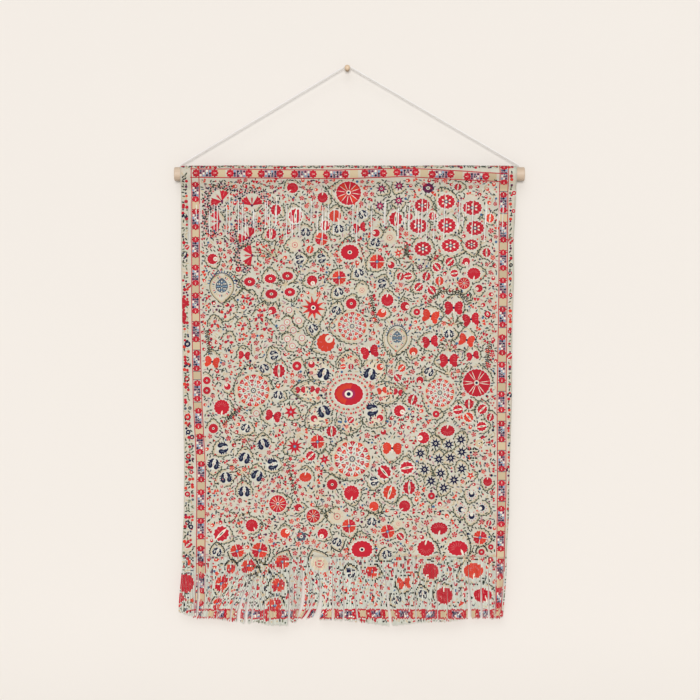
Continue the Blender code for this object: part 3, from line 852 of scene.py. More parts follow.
STEM_HUBS = [  # across, down, first and last direction, number of stems, their reach
    (276, 259, 3.2, 4.9, 7, 27), (285, 286, 3.3, 5.9, 5, 15), (434, 262, 3.3, 6.1, 6, 13),
    (449.5, 351, 3.4, 6.1, 6, 15),
    (447, 375.5, 3.5, 6.0, 5, 17), (241, 469.5, -0.2, 3.4, 7, 17), (245, 435.5, -0.1, 3.3, 6, 14),
    (239, 515, -0.3, 3.5, 5, 14),
    (265.5, 567, -3.1, 3.1, 9, 17), (325.7, 505, 0.1, 3.0, 5, 15), (374.5, 515, 3.5, 6.0, 5, 14),
    (453, 325.5, 3.4, 6.1, 5, 14),
    (290, 389.6, -0.8, 0.8, 4, 17), (407, 389.6, 2.4, 3.9, 4, 16), (414, 262, 0.9, 4.0, 5, 12),
    (467.5, 557, 0.2, 6.0, 9, 13),
]
for u, v, turn in CARNATIONS:
    carnation(u, v, turn)
for n, (u, v, r) in enumerate(SPLITS):
    split(u, v, r, REDS[n % 6 == 3], (0.0, 0.8, -0.7, 0.3, 1.4)[n % 5] if v > 240 else 0.1)
for n, (u, v, r) in enumerate(CRESCENTS):
    c_disc(u, v, r, REDS[n % 5 == 4], n * 1.3)
for u, v, r in FOUR_LOBES:
    four_lobe(u, v, r)
for n, (u, v) in enumerate(PAIRS):
    near_centre, low_left = math.hypot(u - 348, v - 392) < 34, 428 < v < 494 and u < 275
    size = 7.0 if near_centre else 6.4 if low_left else 5.0
    navy_pair(u, v, size, 1.4 if n % 4 == 1 else 0.5 * math.sin(n * 1.7))
for u, v, opening in ((471.5, 494.2, UP), (460.8, 509.2, 0.3), (481.9, 507.7, 2.8), (471.5, 516.1, UP)):
    navy_crescent(u, v, opening)
print("with middle-sized flowers", len(keep_clear))

# %% Stars, rosettes and small marks
for u, v in ((381.5, 188.4), (399.1, 185.3), (398.7, 200.6), (380, 206)):
    star(u, v, 6, 8, "magenta", "navy")
star(420.2, 266.9, 3.5, 8, "magenta", "navy")
star(313.3, 307.8, 12, 10, "crimson", "scarlet", "cream")
star(294.8, 446.4, 8.5, 10, "crimson", None, "slate")
star(398.4, 253, 4.5, 6, "scarlet")
for u, v in (
    (435.6, 443.4), (448.6, 444.5), (460.8, 439.5), (420.3, 453.3), (438.6, 459), (450.5, 457.9),
    (461.6, 451.8),
    (424.5, 469.4), (440.5, 473.2), (461.6, 468.6), (431, 480.9), (453.9, 479.7), (443.6, 487.7),
):
    star(u, v, 5.6, 8, "navy", None, "cream")
for u, v, r in ((352.1, 326.2, 15), (253.5, 390.5, 17), (439.8, 392.7, 15), (352.2, 459, 19)):
    dotted_rosette(u, v, r)
paisley(221.8, 286.4, 11, 12)
paisley(397.1, 338, 9, 11)
for u, v, ru, rv in (
    (294.9, 245, 6, 6), (389.6, 237.7, 6, 6), (362, 290.2, 5, 5), (337.1, 516.5, 7, 7),
    (398.2, 523.9, 4, 4), (319.2, 563.9, 9, 7),
):
    medallion(u, v, ru, rv)
for u, v in (
    (289.1, 310), (298.7, 320.8), (287.2, 322.3), (282.6, 328), (293.3, 330.4), (302, 338), (287.5, 339),
    (292.5, 346), (256.5, 413.4),
):
    guard(u, v, 3.6)
    for layer, colour, r in ((2, "rose", 3.3), (3, "pale", 2.6), (4, "tan", 1.1)):
        disc(layer, colour, u, v, r)
ring_mark(301.3, 536.5, 5, "slate")
ring_mark(487.6, 314.3, 3.5, "crimson")
ring_mark(479.2, 443.4, 4.5, "tan")
ring_mark(428, 187.6, 6, "plum")
for k in range(8):
    disc(2, "olive", 468 + 2.6 * (k % 4), 449 + 9 * (k // 4), 1.1)
comb(arc(449, 307, 21, 16, math.pi + 0.15, TAU - 0.15, 10))
for u, v, step_u, step_v, count in (
    (371, 295, 0.8, 4.8, 7), (489.5, 341, -0.5, 4.4, 7), (206.8, 330, 0.6, 4.2, 7),
    (222.9, 424, 3.3, -2.9, 7),
    (287, 458, 1.3, 6.1, 7), (406.4, 244, 0, 3, 5),
):
    comb([(u + step_u * k, v + step_v * k) for k in range(count)])
for k in range(13):
    spot = polar(243, 487, 21.5, 22, -0.35 + 3.84 * k / 12)
    bud(*spot, 1.9, "rose" if k % 3 == 2 else "crimson")
    guard(*spot, 2.2)
for k in range(12):
    u, v = (283.5 + 1.35 * k, 461 + 3.5 * k) if k % 2 else (290.5 + 1.2 * k, 459 + 3.5 * k)
    star(u, v, 2.5, 5, "crimson", None, "rose")
for k in range(6):
    bud(295 + 0.6 * (k % 2), 553 + 8.2 * k, 2.4)
    guard(295, 553 + 8.2 * k, 2.8)
for n in range(70):
    u, v = dice.uniform(416, 466), dice.uniform(437, 492)
    if room_at(u, v) > 0.2:
        leaf(0, ("tan", "green", "tan")[n % 3], u, v, 3.4, 1.4, dice.uniform(0, TAU))
star(290.9, 411.9, 7, 7, "crimson", None, "rose")
fan(447.5, 430.5, 7.5, 5.8)
star(324.5, 459.4, 5.5, 6, "crimson", None, "rose")
c_disc(413.4, 351.4, 4.5, "scarlet", DOWN)
star(470.4, 475.5, 4, 5, "scarlet")
fan(487.6, 481.6, 4.8, 4.8)
for u, v in (
    (245, 298), (250.5, 300), (230.6, 307), (225.2, 314), (215, 324), (242.8, 326), (262, 311.6),
    (258.9, 317.7),
    (266.6, 328), (228.2, 340.7), (281.8, 430.4), (277.9, 436.5), (321.3, 491.7), (367.3, 435.5),
    (258, 219.7),
    (245.9, 209.4), (235, 185.7), (433, 194.5), (491, 230.8), (483.4, 237.7), (437, 258), (491, 294.4),
    (476.5, 298), (483, 305), (331.5, 357), (454.3, 534.4), (444.4, 540), (426.4, 522.6), (421.8, 537),
    (472.7, 557.4), (446.7, 515.7), (429.8, 510.7), (439.8, 503.8), (415, 565.6), (421, 561),
    (437.6, 558.4),
    (456.6, 565), (430.4, 584.6), (465.5, 588), (459.4, 603), (399, 557.8),
):
    red = REDS[dice.random() < 0.3]
    if 290 < v < 345 and u < 272:
        cluster(u, v, 5.2, red)
    else:
        guard(u, v, 3.2)
        bud(u, v, 2.7, red)
print("motifs", len(keep_clear), "shapes", len(shapes))

# %% [markdown]
# ## The centre rosette
# A layered flower marks the middle of the field, inside a square of leaves. It gets its own cell
# because it has more parts than the others.

# %% Centre rosette
CENTRE_U, CENTRE_V = 348.7, 394.0
CENTRE = (CENTRE_U, CENTRE_V)
guard(*CENTRE, 21)
disc(1, "pale", *CENTRE, 15.9, 12.7, 0, 18, 0.05)
disc(2, "crimson", *CENTRE, 14.7, 11.5, 0, 18, 0.04)
for a in turns(18, 6)[:9]:
    petal(3, "scarlet", *CENTRE, 13.4 - 2.4 * abs(math.sin(a)), 0.17, a)
disc(4, "magenta", *CENTRE, 6.6, 5.4)
disc(5, "cream", *CENTRE, 4.1, 3.6)
disc(6, "navy", *CENTRE, 2.1)
for ru, rv, count in ((18.4, 15.2, 24), (22.4, 19.2, 30)):
    for k, a in enumerate(turns(count)):
        petal(2, (*REDS, "rose")[(k + count) % 3], *polar(*CENTRE, ru - 1.2, rv - 1.2, a), 2.6, 0.6, a)
        leaf(2, ("olive", "tan")[k % 2], *polar(*CENTRE, ru, rv, a + 0.1), 2.6, 1.0, a + 0.6)


def long_petal(turn, near, far, half, count=28):
    """The outline of a long petal, open towards the centre and pointed at its far end."""
    path = []
    for k in range(count + 1):
        t = 2 * k / count - 1
        x, y = far - (far - near) * abs(t), math.copysign(half * math.sin(2.1 * abs(t) ** 0.85), t)
        path.append(swing(*CENTRE, x, y, turn))
    return path


CENTRE_PETALS = [  # direction, near end, point, half width
    (UP, 24, 45, 13), (DOWN, 22, 42, 14), (-3.07, 27, 58, 12), (-0.02, 27, 56, 12),
    (-2.47, 28, 55, 13), (-0.75, 28, 50, 13), (2.49, 28, 55, 13), (0.71, 28, 48, 13),
]
print("shapes with the centre", len(shapes))

# %% [markdown]
# ## Borders
# Two red lines run down each side and along the top and bottom. Between them small flower groups
# take turns with plain tan panels. Walking each border with one function keeps the four alike.

# %% Side borders
LEFT_LINES = [  # down, outer line, inner line
    (186.0, 191.9, 199.5), (300.0, 191.7, 199.3), (400.0, 193.3, 201.8), (470.0, 197.0, 205.5),
    (625.0, 196.0, 204.5),
]
RIGHT_LINES = [
    (186.0, 499.4, 507.9), (300.0, 498.7, 507.1), (400.0, 497.0, 506.0), (490.0, 497.6, 506.0),
    (610.0, 495.8, 503.0),
]
LEFT_PANELS = [
    201, 229, 257, 285, 313, 341.5, 371.3, 402, 426.5, 453.3, 481.6, 509.8, 539, 565, 592.7,
]
RIGHT_PANELS = [
    183, 213.6, 242, 270, 297.8, 327.7, 353.7, 382.8, 412.6, 441.8, 471.7, 501.5, 523, 550.5, 579, 608,
]
PANEL_LONG, LINE_WIDE, LAST_STEP = 8.5, 0.75, 28


def tan_panel(left, right, top, end):
    add_shape(0, "tan", [(left, top), (right, top), (right, end), (left, end)])


def side_border(lines, starts, phase):
    def between(v):
        return (read_row(lines, v, 1) + read_row(lines, v, 2)) / 2, v

    for column in (1, 2):
        line = [(read_row(lines, v, column), v) for v in range(158, 615, 4)]
        stroke(4, "crimson", line, LINE_WIDE, 1.0)
    flower_group(*between(starts[0] - 9.5), DOWN, phase)
    for n, start in enumerate(starts):
        end, middle = start + PANEL_LONG, start + PANEL_LONG / 2
        left, right = read_row(lines, middle, 1), read_row(lines, middle, 2)
        tan_panel(left, right, start, end)
        for v in (start, end):
            stroke(1, "slate", [(left, v), ((left + right) / 2, v), (right, v)], 0.7, 1.0)
        after = starts[n + 1] if n + 1 < len(starts) else start + LAST_STEP
        flower_group(*between((end + after) / 2), DOWN, n + phase)


def flower_group(u, v, turn, n, long=1.0):
    """One border flower: a jewelled middle between two scalloped red ends."""
    def at(x, y):
        return swing(u, v, long * x, y, turn)

    add_shape(1, "mauve", [at(-5.4, -3.5), at(5.4, -3.5), at(5.4, 3.5), at(-5.4, 3.5)])
    for k in range(4):
        for row in (-2.0, 0.0, 2.0):
            tone = ("plum", "navy", "cream", "slate", "sky")[(k * 2 + n + int(row)) % 5]
            disc(2, tone, *at(-3.9 + 2.6 * k, row + 0.35 * (k % 2)), 1.15)
    disc(3, "cream", u, v, 1.2)
    disc(4, ("plum", "blue")[n % 2], u, v, 0.8)
    for side in (-1, 1):
        disc(2, "crimson", *at(side * 7.7, 0), 3.3 * long, 4.0, turn, 8, 0.22)
        disc(3, "rose", *at(side * 7.3, 0), 0.9, 1.1)
        leaf(3, "cream", *at(side * 8.6, 0), 1.8, 0.7, turn)


side_border(LEFT_LINES, LEFT_PANELS, 0)
side_border(RIGHT_LINES, RIGHT_PANELS, 1)
print("shapes with side borders", len(shapes))

# %% Top and bottom borders
TOP_LINE = [(200.0, 167.8), (340.0, 169.2), (405.0, 167.0), (440.0, 169.0), (505.0, 172.6)]
TOP_WIDE, BOTTOM_DOWN, BOTTOM_WIDE = 8.2, 610.0, 8.0
for drop in (0.0, TOP_WIDE):
    line = [(u, read_row(TOP_LINE, u, 1) + drop) for u in range(191, 510, 4)]
    stroke(4, "crimson", line, LINE_WIDE, 1.0)
for u in (222, 256, 288, 320, 354, 391, 424, 458, 492):
    v = read_row(TOP_LINE, u, 1)
    tan_panel(u - 4, u + 4, v, v + TOP_WIDE)
for n, u in enumerate((206, 240, 271, 304, 336, 374, 406, 441, 476)):
    flower_group(u, read_row(TOP_LINE, u, 1) + TOP_WIDE / 2, 0.0, n, 1.2)
for drop in (0.0, BOTTOM_WIDE):
    stroke(4, "crimson", [(u, BOTTOM_DOWN + drop) for u in range(190, 505, 5)], 1.5, 1.0)
for n in range(11):
    u = 214 + 28 * n
    tan_panel(u, u + 8, BOTTOM_DOWN, BOTTOM_DOWN + BOTTOM_WIDE)
    flower_group(u + 18, BOTTOM_DOWN + 4, 0.0, n)

# %% Marks in the outer margins
for u, v, r, colour in (
    (514, 193, 2.4, "crimson"), (513.5, 211, 2.2, "crimson"), (511, 265, 2, "olive"),
    (510, 273, 2.2, "crimson"),
    (510.5, 295, 2.2, "crimson"), (510, 316, 2.2, "scarlet"), (509.6, 331.5, 2.2, "crimson"),
    (187.5, 344, 3.4, "navy"),
    (187, 379, 3.2, "crimson"), (187.7, 417, 3.6, "crimson"), (190, 408, 1.8, "olive"),
    (190, 426, 1.8, "olive"),
    (188.3, 432, 2.6, "navy"), (192, 437, 2.6, "navy"), (188.5, 456, 2.8, "crimson"),
    (191.5, 472, 2.2, "crimson"),
    (187.5, 494, 3, "crimson"), (187.5, 522.6, 2.6, "navy"), (191, 526.8, 2.6, "navy"),
    (187.5, 545, 3, "crimson"),
):
    ring_mark(u, v, r, colour)
for u, v, r in ((188.5, 285.8, 2.8), (188, 544.6, 3.6), (187, 247, 2.6), (511, 240, 3.0), (510, 356, 3.4)):
    split(u, v, r, "crimson", 0.9)
for u, v, ru, rv in ((181.8, 303.4, 5, 6), (181.8, 316.6, 5, 6), (187.6, 583.4, 7, 9.5), (182.5, 598, 4, 5)):
    disc(4, "crimson", u, v, ru, rv, 0, 12, 0.06)
    leaf(5, "rose", u + 1.6, v, ru, 0.6, 0.3)
for u, v, r in (
    (184.5, 216, 3.0), (184.5, 255, 3.4), (187, 557, 3.2), (188.6, 365, 2.8), (509.5, 395, 2.8),
    (508.6, 470, 3.0),
):
    navy_pair(u, v, r, 0.4)


def speckle(u, v):
    """A small mark of the kind that crowds the margins."""
    draw, turn = dice.random(), dice.uniform(0, TAU)
    if draw < 0.22:
        red = dice.choice(("crimson", "crimson", "scarlet"))
        disc(2, red, u, v, dice.uniform(1.3, 2.0), None, turn, 5, 0.2)
    elif draw < 0.40:
        disc(2, dice.choice(("navy", "plum", "slate", "sage")), u, v, dice.uniform(0.9, 1.4))
    elif draw < 0.80:
        leaf(2, dice.choice(("olive", "sage", "green")), u, v, 3.6, 1.5, turn)
    else:
        leaf(1, "tan", u, v, 4.2, 1.3, turn)


FILL_STEP, SLOT, LINE_ROOM = 2.95, 2.9, 1.6
for n in range(150):
    v = 172 + FILL_STEP * n
    for left, right in (
        (edge(v, 0) + 1, read_row(LEFT_LINES, v, 1) - LINE_ROOM),
        (read_row(RIGHT_LINES, v, 2) + LINE_ROOM, edge(v, 1) - 1),
    ):
        for slot in range(max(1, int((right - left) / SLOT))):
            speckle(left + 1.5 + SLOT * slot + dice.uniform(-0.7, 0.7), v + dice.uniform(-0.8, 0.8))
for n in range(112):
    for v in (153.6, 156.8, 160.0, 163.0, 165.6):
        speckle(184 + FILL_STEP * n + dice.uniform(-0.8, 0.8), v + dice.uniform(-0.7, 0.7))
for n in range(108):
    speckle(190 + FILL_STEP * n, 621.0 + dice.uniform(-1.5, 1.5))
print("shapes with margins", len(shapes))

# %% [markdown]
# ## Paths of the leafy vines
# Dark leaflets curl round most flowers in a broken arc. The paths are found here, before the small
# filling flowers, so that those keep off them; the leaflets themselves are grown further down.

# %% Vine paths
VINE_END = 550.0
FIELD_LEFT, FIELD_RIGHT = 203, 496


def on_slit(u, v, reach):
    return any(top - 2 < v < end + 2 and abs(u - su) < reach for su, top, end in SLITS)


def clear_runs(path, spot, room):
    """The stretches of a path that keep off the other motifs, the border and the slits."""
    runs, run = [], []
    for u, v in path:
        in_field = FIELD_LEFT < u < FIELD_RIGHT and 178.5 < v < 607
        if in_field and room_at(u, v, spot) > room and not on_slit(u, v, 1.3):
            run.append((u, v))
            continue
        runs.append(run)
        run = []
    return [run for run in runs + [run] if len(run) > 3]


for u, v, first, last, count, reach in STEM_HUBS:
    for k in range(count):
        a = first + (last - first) * k / (count - 1)
        stem = [
            polar(u, v, reach * t, reach * t, a + 0.12 * math.sin(3 * t + k))
            for t in (0.05, 0.2, 0.35, 0.5, 0.65, 0.8, 0.95)
        ]
        stroke(0, "tan", stem, 1.5, 0.6)
        stroke(1, ("green", "olive")[k % 2], stem[1:], 0.45, 0.6)
        for t in (2, 3, 4, 5):
            leaf(1, "olive", *stem[t], 2.6, 0.9, a + (0.8 if t % 2 else -0.8))

vines = []
for turn, near, far, half in CENTRE_PETALS:
    add_shape(0, "sand", long_petal(turn, near + 5, far - 5, half - 5, 14))
    vines += clear_runs(long_petal(turn, near, far, half), None, 0.1)
    for run in clear_runs(long_petal(turn, near + 2, far - 3, half - 2), None, 0.0):
        stroke(0, "tan", run[::2] + run[-1:], 1.2, 0.8)
for spot in list(keep_clear):
    u, v, r = spot
    in_field = FIELD_LEFT < u < FIELD_RIGHT and 180 < v < 606
    in_centre = math.hypot((u - CENTRE_U) / 60, (v - CENTRE_V) / 46) < 1
    if r < 3.0 or not in_field or in_centre:
        continue
    tip = dice.choice((UP, DOWN, UP, 0.2, 2.9)) + dice.uniform(-0.45, 0.45)
    span = dice.uniform(1.0, 2.1)
    for run in clear_runs(ogive(u, v, r + 1.0, tip, span), spot, 0.2):
        stroke(0, "tan", run[::2] + run[-1:], 1.0, 0.6)
    if r >= 3.4:
        vines += clear_runs(ogive(u, v, r * 1.04 + 2.1, tip, span, 22), spot, 0.6)
for run in vines:
    for pu, pv in run[::2]:
        guard(pu, pv, 0.8)
    stroke(1, "sage", run[:-1:2] + run[-1:], 1.0, 0.7)
stitched_vines = [run for run in vines if max(p[1] for p in run) > VINE_END]
grown_vines = [run for run in vines if max(p[1] for p in run) <= VINE_END]
for run in stitched_vines:
    for k in range(len(run) - 1):
        (x0, y0), (x1, y1) = run[k], run[k + 1]
        a = math.atan2(y1 - y0, x1 - x0) + (0.7 if k % 2 else -0.7)
        leaf(2, "olive", x0, y0, 2.8, 1.1, a)
print("vines", len(grown_vines), "grown and", len(stitched_vines), "stitched")

# %% [markdown]
# ## Small filling flowers
# No part of the field stays empty: buds, seeds and leaflets sit in whatever room the larger flowers
# leave. A jittered grid tries each place and keeps it when it is clear of them.

# %% Filling
filled = 0
for row in range(int((608 - 179) / FILL_STEP)):
    for column in range(int((498 - 200) / FILL_STEP)):
        u = 202 + FILL_STEP * (column + 0.5 * (row % 2)) + dice.uniform(-1.2, 1.2)
        v = 180 + FILL_STEP * row + dice.uniform(-1.2, 1.2)
        room = room_at(u, v)
        if room < 1.0 or not read_row(LEFT_LINES, v, 2) + 1.8 < u < read_row(RIGHT_LINES, v, 1) - 1.8:
            continue
        draw = dice.random()
        turn = dice.uniform(0, TAU)
        if room > 3.3 and draw < 0.42:
            bud(u, v, dice.uniform(1.9, 2.6), "scarlet" if draw < 0.14 else "crimson")
            guard(u, v, 2.8)
        elif draw < 0.62:
            leaf(2, dice.choice(("olive", "green", "olive", "slate", "olive")), u, v, 3.6, 1.35, turn)
        elif draw < 0.80:
            leaf(1, dice.choice(("tan", "tan", "mauve")), u, v, 4.4, 1.4, turn)
        elif draw < 0.95:
            petal(2, dice.choice(("crimson", "crimson", "rose", "scarlet")), u, v, 2.1, 0.6, turn)
        else:
            disc(2, dice.choice(("plum", "blue", "navy")), u, v, dice.uniform(0.9, 1.4))
        filled += 1
print("filled places", filled, "shapes", len(shapes))

# %% [markdown]
# ## Laying the thread on the cloth
# Each flat shape becomes a thin closed pad that lies on the folds, higher for each layer over the
# last. Where a slit or the cloth's rim passes through a shape, the shape is cut there, as the real
# pattern breaks at every parted strand. Colour goes into a colour attribute and the stitch direction
# into the UV map, so one material serves all the threads.

# %% Cutting and laying shapes
PAD_BASE, PAD_STEP, PAD_ROOT = 0.00014, 0.00010, 0.0005
STITCHED_END = STRIP_END - 0.3
BEND_END, RIM_ROOM, SLIT_NEAR = 199.0, 0.25, 1.2


def cut(points, side):
    """The part of an outline where side(point) is not negative."""
    kept = []
    for k, here in enumerate(points):
        before = points[k - 1]
        a, b = side(before), side(here)
        if (a < 0) != (b < 0):
            t = a / (a - b)
            kept.append((before[0] + (here[0] - before[0]) * t, before[1] + (here[1] - before[1]) * t))
        if b >= 0:
            kept.append(here)
    return kept


def slit_line(number):
    u, top, end = SLITS[number]
    part = (u - edge(220, 0)) / (edge(220, 1) - edge(220, 0))
    high, low = edge(top, part), edge(end, part)
    return lambda p: p[0] - (high + (low - high) * (p[1] - top) / (end - top))


SLIT_LINES = [slit_line(n) for n in range(len(SLITS))]
BENT_STEP, FLAT_STEP, LEAST_AREA = 1.8, 3.6, 0.05


def on_cloth(points):
    """The pieces of a shape that lie on the cloth, with slits and rims cut out."""
    middle = sum(p[1] for p in points) / len(points)
    left, right = edge(middle, 0) + RIM_ROOM, edge(middle, 1) - RIM_ROOM
    whole = cut(points, lambda p: p[0] - left)
    whole = cut(whole, lambda p: right - p[0]) if len(whole) > 2 else whole
    whole = cut(whole, lambda p: STITCHED_END - p[1]) if len(whole) > 2 else whole
    pieces = [whole] if len(whole) > 2 else []
    for number, (u, top, end) in enumerate(SLITS):
        cut_up = []
        for piece in pieces:
            us, vs = [p[0] for p in piece], [p[1] for p in piece]
            if max(us) < u - SLIT_NEAR or min(us) > u + SLIT_NEAR or max(vs) < top or min(vs) > end:
                cut_up.append(piece)
                continue
            line = SLIT_LINES[number]
            for side in (-1, 1):
                rest = cut(piece, lambda p: side * line(p) - SLIT_HALF)
                if len(rest) > 2:
                    cut_up.append(rest)
        pieces = cut_up
    return pieces


def area_of(points):
    return 0.5 * sum(a[0] * b[1] - b[0] * a[1] for a, b in zip(points, points[1:] + points[:1]))


def even_outline(points, step):
    """The same outline with no edge longer than a step."""
    even = []
    for a, b in zip(points, points[1:] + points[:1]):
        count = max(1, math.ceil(math.hypot(b[0] - a[0], b[1] - a[1]) / step))
        even += [(along(a[0], b[0], k, count), along(a[1], b[1], k, count)) for k in range(count)]
    return even


def lay_pad(store, points, layer, colour, turn, index):
    """Adds one closed pad: rings from its middle to its rim, a wall, and an underside."""
    if area_of(points) > 0:
        points = points[::-1]
    if abs(area_of(points)) < LEAST_AREA:
        return
    verts, faces, tones, uvs = store
    bent = min(p[1] for p in points) < BEND_END
    if bent:
        points = even_outline(points, BENT_STEP)
    count = len(points)
    mu, mv = sum(p[0] for p in points) / count, sum(p[1] for p in points) / count
    reach = max(math.hypot(p[0] - mu, p[1] - mv) for p in points)
    rings = math.ceil(reach / (BENT_STEP if bent else FLAT_STEP))
    top = CLOTH_T / 2 + PAD_BASE + PAD_STEP * layer + 0.000003 * (index % 23)
    base, ca, sa = len(verts), math.cos(-turn), math.sin(-turn)

    def place(u, v, height):
        verts.append(surface(u, v, height))
        uvs.append(((u * ca - v * sa) * 0.1, (u * sa + v * ca) * 0.1))

    root = CLOTH_T / 2 - PAD_ROOT
    place(mu, mv, top)
    for ring in range(1, rings + 1):
        for u, v in points:
            place(mu + (u - mu) * ring / rings, mv + (v - mv) * ring / rings, top)
    under_rings = rings if rings > 1 else 0
    for ring in range(max(1, under_rings), 0, -1):
        t = ring / max(1, under_rings)
        for u, v in points:
            place(mu + (u - mu) * t, mv + (v - mv) * t, root)
    start = len(faces)
    bands = rings + max(1, under_rings)
    for k in range(count):
        faces.append((base, base + 1 + k, base + 1 + (k + 1) % count))
    for ring in range(bands - 1):
        inner, outer = base + 1 + ring * count, base + 1 + (ring + 1) * count
        for k in range(count):
            n = (k + 1) % count
            faces.append((inner + k, outer + k, outer + n, inner + n))
    last = base + 1 + (bands - 1) * count
    if under_rings:
        place(mu, mv, root)
        for k in range(count):
            faces.append((len(verts) - 1, last + (k + 1) % count, last + k))
    else:
        faces.append(tuple(last + k for k in reversed(range(count))))
    red, green, blue, _ = thread(colour)
    shade = 1.0 + 0.09 * math.sin(index * 12.9898)
    tones.extend([(red * shade, green * shade, blue * shade, 1.0)] * (len(faces) - start))


def stitched_piece(name, chosen):
    store = ([], [], [], [])
    for index, (layer, colour, points, turn) in chosen:
        for piece in on_cloth(points):
            lay_pad(store, piece, layer, colour, turn, index)
    verts, faces, tones, uvs = store
    mesh = bpy.data.meshes.new(name)
    mesh.from_pydata([tuple(v) for v in verts], [], faces)
    made = new_object(name, mesh)
    colour_faces(mesh, tones)
    layer = mesh.uv_layers.new(name="stitch")
    flat = []
    for loop in mesh.loops:
        flat.extend(uvs[loop.vertex_index])
    layer.data.foreach_set("uv", flat)
    return made


def colour_faces(mesh, tones):
    attribute = mesh.color_attributes.new(name="thread", type="FLOAT_COLOR", domain="CORNER")
    flat = []
    for face, tone in zip(mesh.polygons, tones):
        flat.extend(tone * face.loop_total)
    attribute.data.foreach_set("color", flat)


# %% Stitched pieces, from top to bottom
BANDS = [
    ("stitched_top", 0, 190), ("stitched_upper", 190, 270), ("stitched_middle", 270, 345),
    ("stitched_centre", 345, 420), ("stitched_lower", 420, 490), ("stitched_foot", 490, 560),
]
numbered = [(n, shape, sum(p[1] for p in shape[2]) / len(shape[2])) for n, shape in enumerate(shapes)]
stitched = []
for name, high, low in BANDS:
    chosen = [(index, shape) for index, shape, middle in numbered if high <= middle < low]
    made = stitched_piece(name, chosen)
    stitched.append(made)
    print(name, len(chosen), "shapes", count_triangles(made), "triangles")

# %% [markdown]
# ## Fringe
# Below the last woven line the warp hangs free, in clumps that lean and part. The pattern runs on
# over the strands, so each short length of a strand is coloured from the same list of shapes, painted
# lighter than on the panel against the shade that falls between the strands. The clump table is the
# one that the solids use.

# %% Clumps of the fringe
PITCH, STRAND_FILL, STRAND_T, STAGGER = 1.40, 0.98, 0.0012, 0.0004
STRAND_STEPS, STRAND_SIDES, LEAST_STRAND, BOW_PEAK = 42, 5, 0.0013, 6.75
CLUMPS = [  # root span, tip span, tip line, bow
    ((181.9, 198.0), (178.4, 195.8), (612.0, 618.0), (0.0, 0.6)),
    ((198.0, 206.0), (196.4, 202.0), (618.6, 619.0), (2.6, 2.6)),
    ((206.0, 214.0), (202.7, 206.4), (618.6, 618.2), (2.2, 3.0)),
    ((214.0, 226.0), (207.0, 215.8), (618.0, 619.4), (2.4, 1.0)),
    ((226.0, 247.4), (216.6, 230.0), (619.2, 621.2), (1.0, -1.6)),
    ((247.4, 252.2), (231.6, 236.6), (622.0, 621.6), (-1.2, -1.0)),
    ((252.2, 256.0), (240.4, 244.2), (623.4, 623.6), (-1.0, -0.6)),
    ((256.0, 259.6), (247.6, 250.8), (623.6, 624.0), (-0.6, 0.0)),
    ((259.6, 267.4), (252.6, 263.2), (621.2, 624.0), (0.0, 0.0)),
    ((267.4, 271.0), (264.0, 268.8), (624.4, 625.0), (0.0, 0.0)),
    ((271.0, 289.2), (269.6, 287.2), (625.2, 625.6), (0.0, 0.6)),
    ((289.2, 301.4), (289.8, 295.4), (621.6, 623.0), (0.6, 3.4)),
    ((301.4, 309.0), (296.8, 303.2), (619.6, 618.0), (6.4, 7.4)),
    ((309.0, 317.6), (305.6, 312.6), (619.8, 616.6), (6.8, 4.8)),
    ((317.6, 332.4), (318.8, 331.6), (620.6, 620.0), (3.8, 0.0)),
    ((332.4, 343.6), (333.8, 342.4), (620.2, 621.0), (0.0, 0.6)),
    ((343.6, 352.0), (344.2, 357.0), (620.6, 622.4), (0.4, -1.0)),
    ((352.0, 385.0), (358.6, 389.4), (622.2, 626.6), (-1.0, -1.2)),
    ((385.0, 412.6), (392.0, 415.2), (626.4, 623.4), (-0.6, 0.0)),
    ((412.6, 435.4), (416.8, 437.0), (623.2, 621.2), (0.0, 0.0)),
    ((435.4, 446.4), (438.2, 447.2), (622.0, 621.4), (0.0, 0.0)),
    ((446.4, 468.2), (447.9, 467.6), (621.6, 618.6), (0.0, 0.0)),
    ((468.2, 480.6), (471.3, 480.4), (618.2, 618.6), (0.4, 0.0)),
    ((480.6, 488.4), (482.5, 488.0), (618.6, 618.4), (0.4, -0.4)),
    ((488.4, 495.2), (489.7, 494.6), (619.0, 619.2), (0.2, 0.0)),
    ((495.2, 506.6), (495.3, 502.8), (619.2, 617.6), (0.4, 0.8)),
]


def strand_list():
    strands = []
    for n, ((r0, r1), (t0, t1), (e0, e1), (b0, b1)) in enumerate(CLUMPS):
        count = max(2, round((r1 - r0) / PITCH))
        for k in range(count):
            part = (k + 0.5) / count
            uneven = 0.55 * math.sin(2.3 * k + 1.7 * n) + 0.35 * math.sin(5.1 * k + n)
            strands.append(dict(
                root=r0 + (r1 - r0) * part, tip=t0 + (t1 - t0) * part, end=e0 + (e1 - e0) * part + uneven,
                bow=b0 + (b1 - b0) * part,
                root_pitch=(r1 - r0) / count * CHART, tip_pitch=(t1 - t0) / count * CHART,
            ))
    return strands


def strand_point(strand, t, n):
    lean = (t * t * (3 - 2 * t)) ** 1.15
    u = strand["root"] + (strand["tip"] - strand["root"]) * lean + strand["bow"] * BOW_PEAK * t * t * (1 - t)
    v = STRIP_END + (strand["end"] - STRIP_END) * t
    y = AXIS_Y + fold(u, v) + (STAGGER if n % 2 else -STAGGER) * t
    pitch = strand["root_pitch"] + (strand["tip_pitch"] - strand["root_pitch"]) * t
    return across(u), y, down(v), max(LEAST_STRAND, pitch * STRAND_FILL) / 2


# %% Colour of a place in the chart
CELL = 6.0
chart_cells = {}
for _, colour, points, _ in sorted(shapes, key=lambda shape: shape[0]):
    us, vs = [p[0] for p in points], [p[1] for p in points]
    if max(vs) < STRIP_END - 8:
        continue
    for i in range(int(min(us) // CELL), int(max(us) // CELL) + 1):
        for j in range(int(min(vs) // CELL), int(max(vs) // CELL) + 1):
            chart_cells.setdefault((i, j), []).append((colour, points))


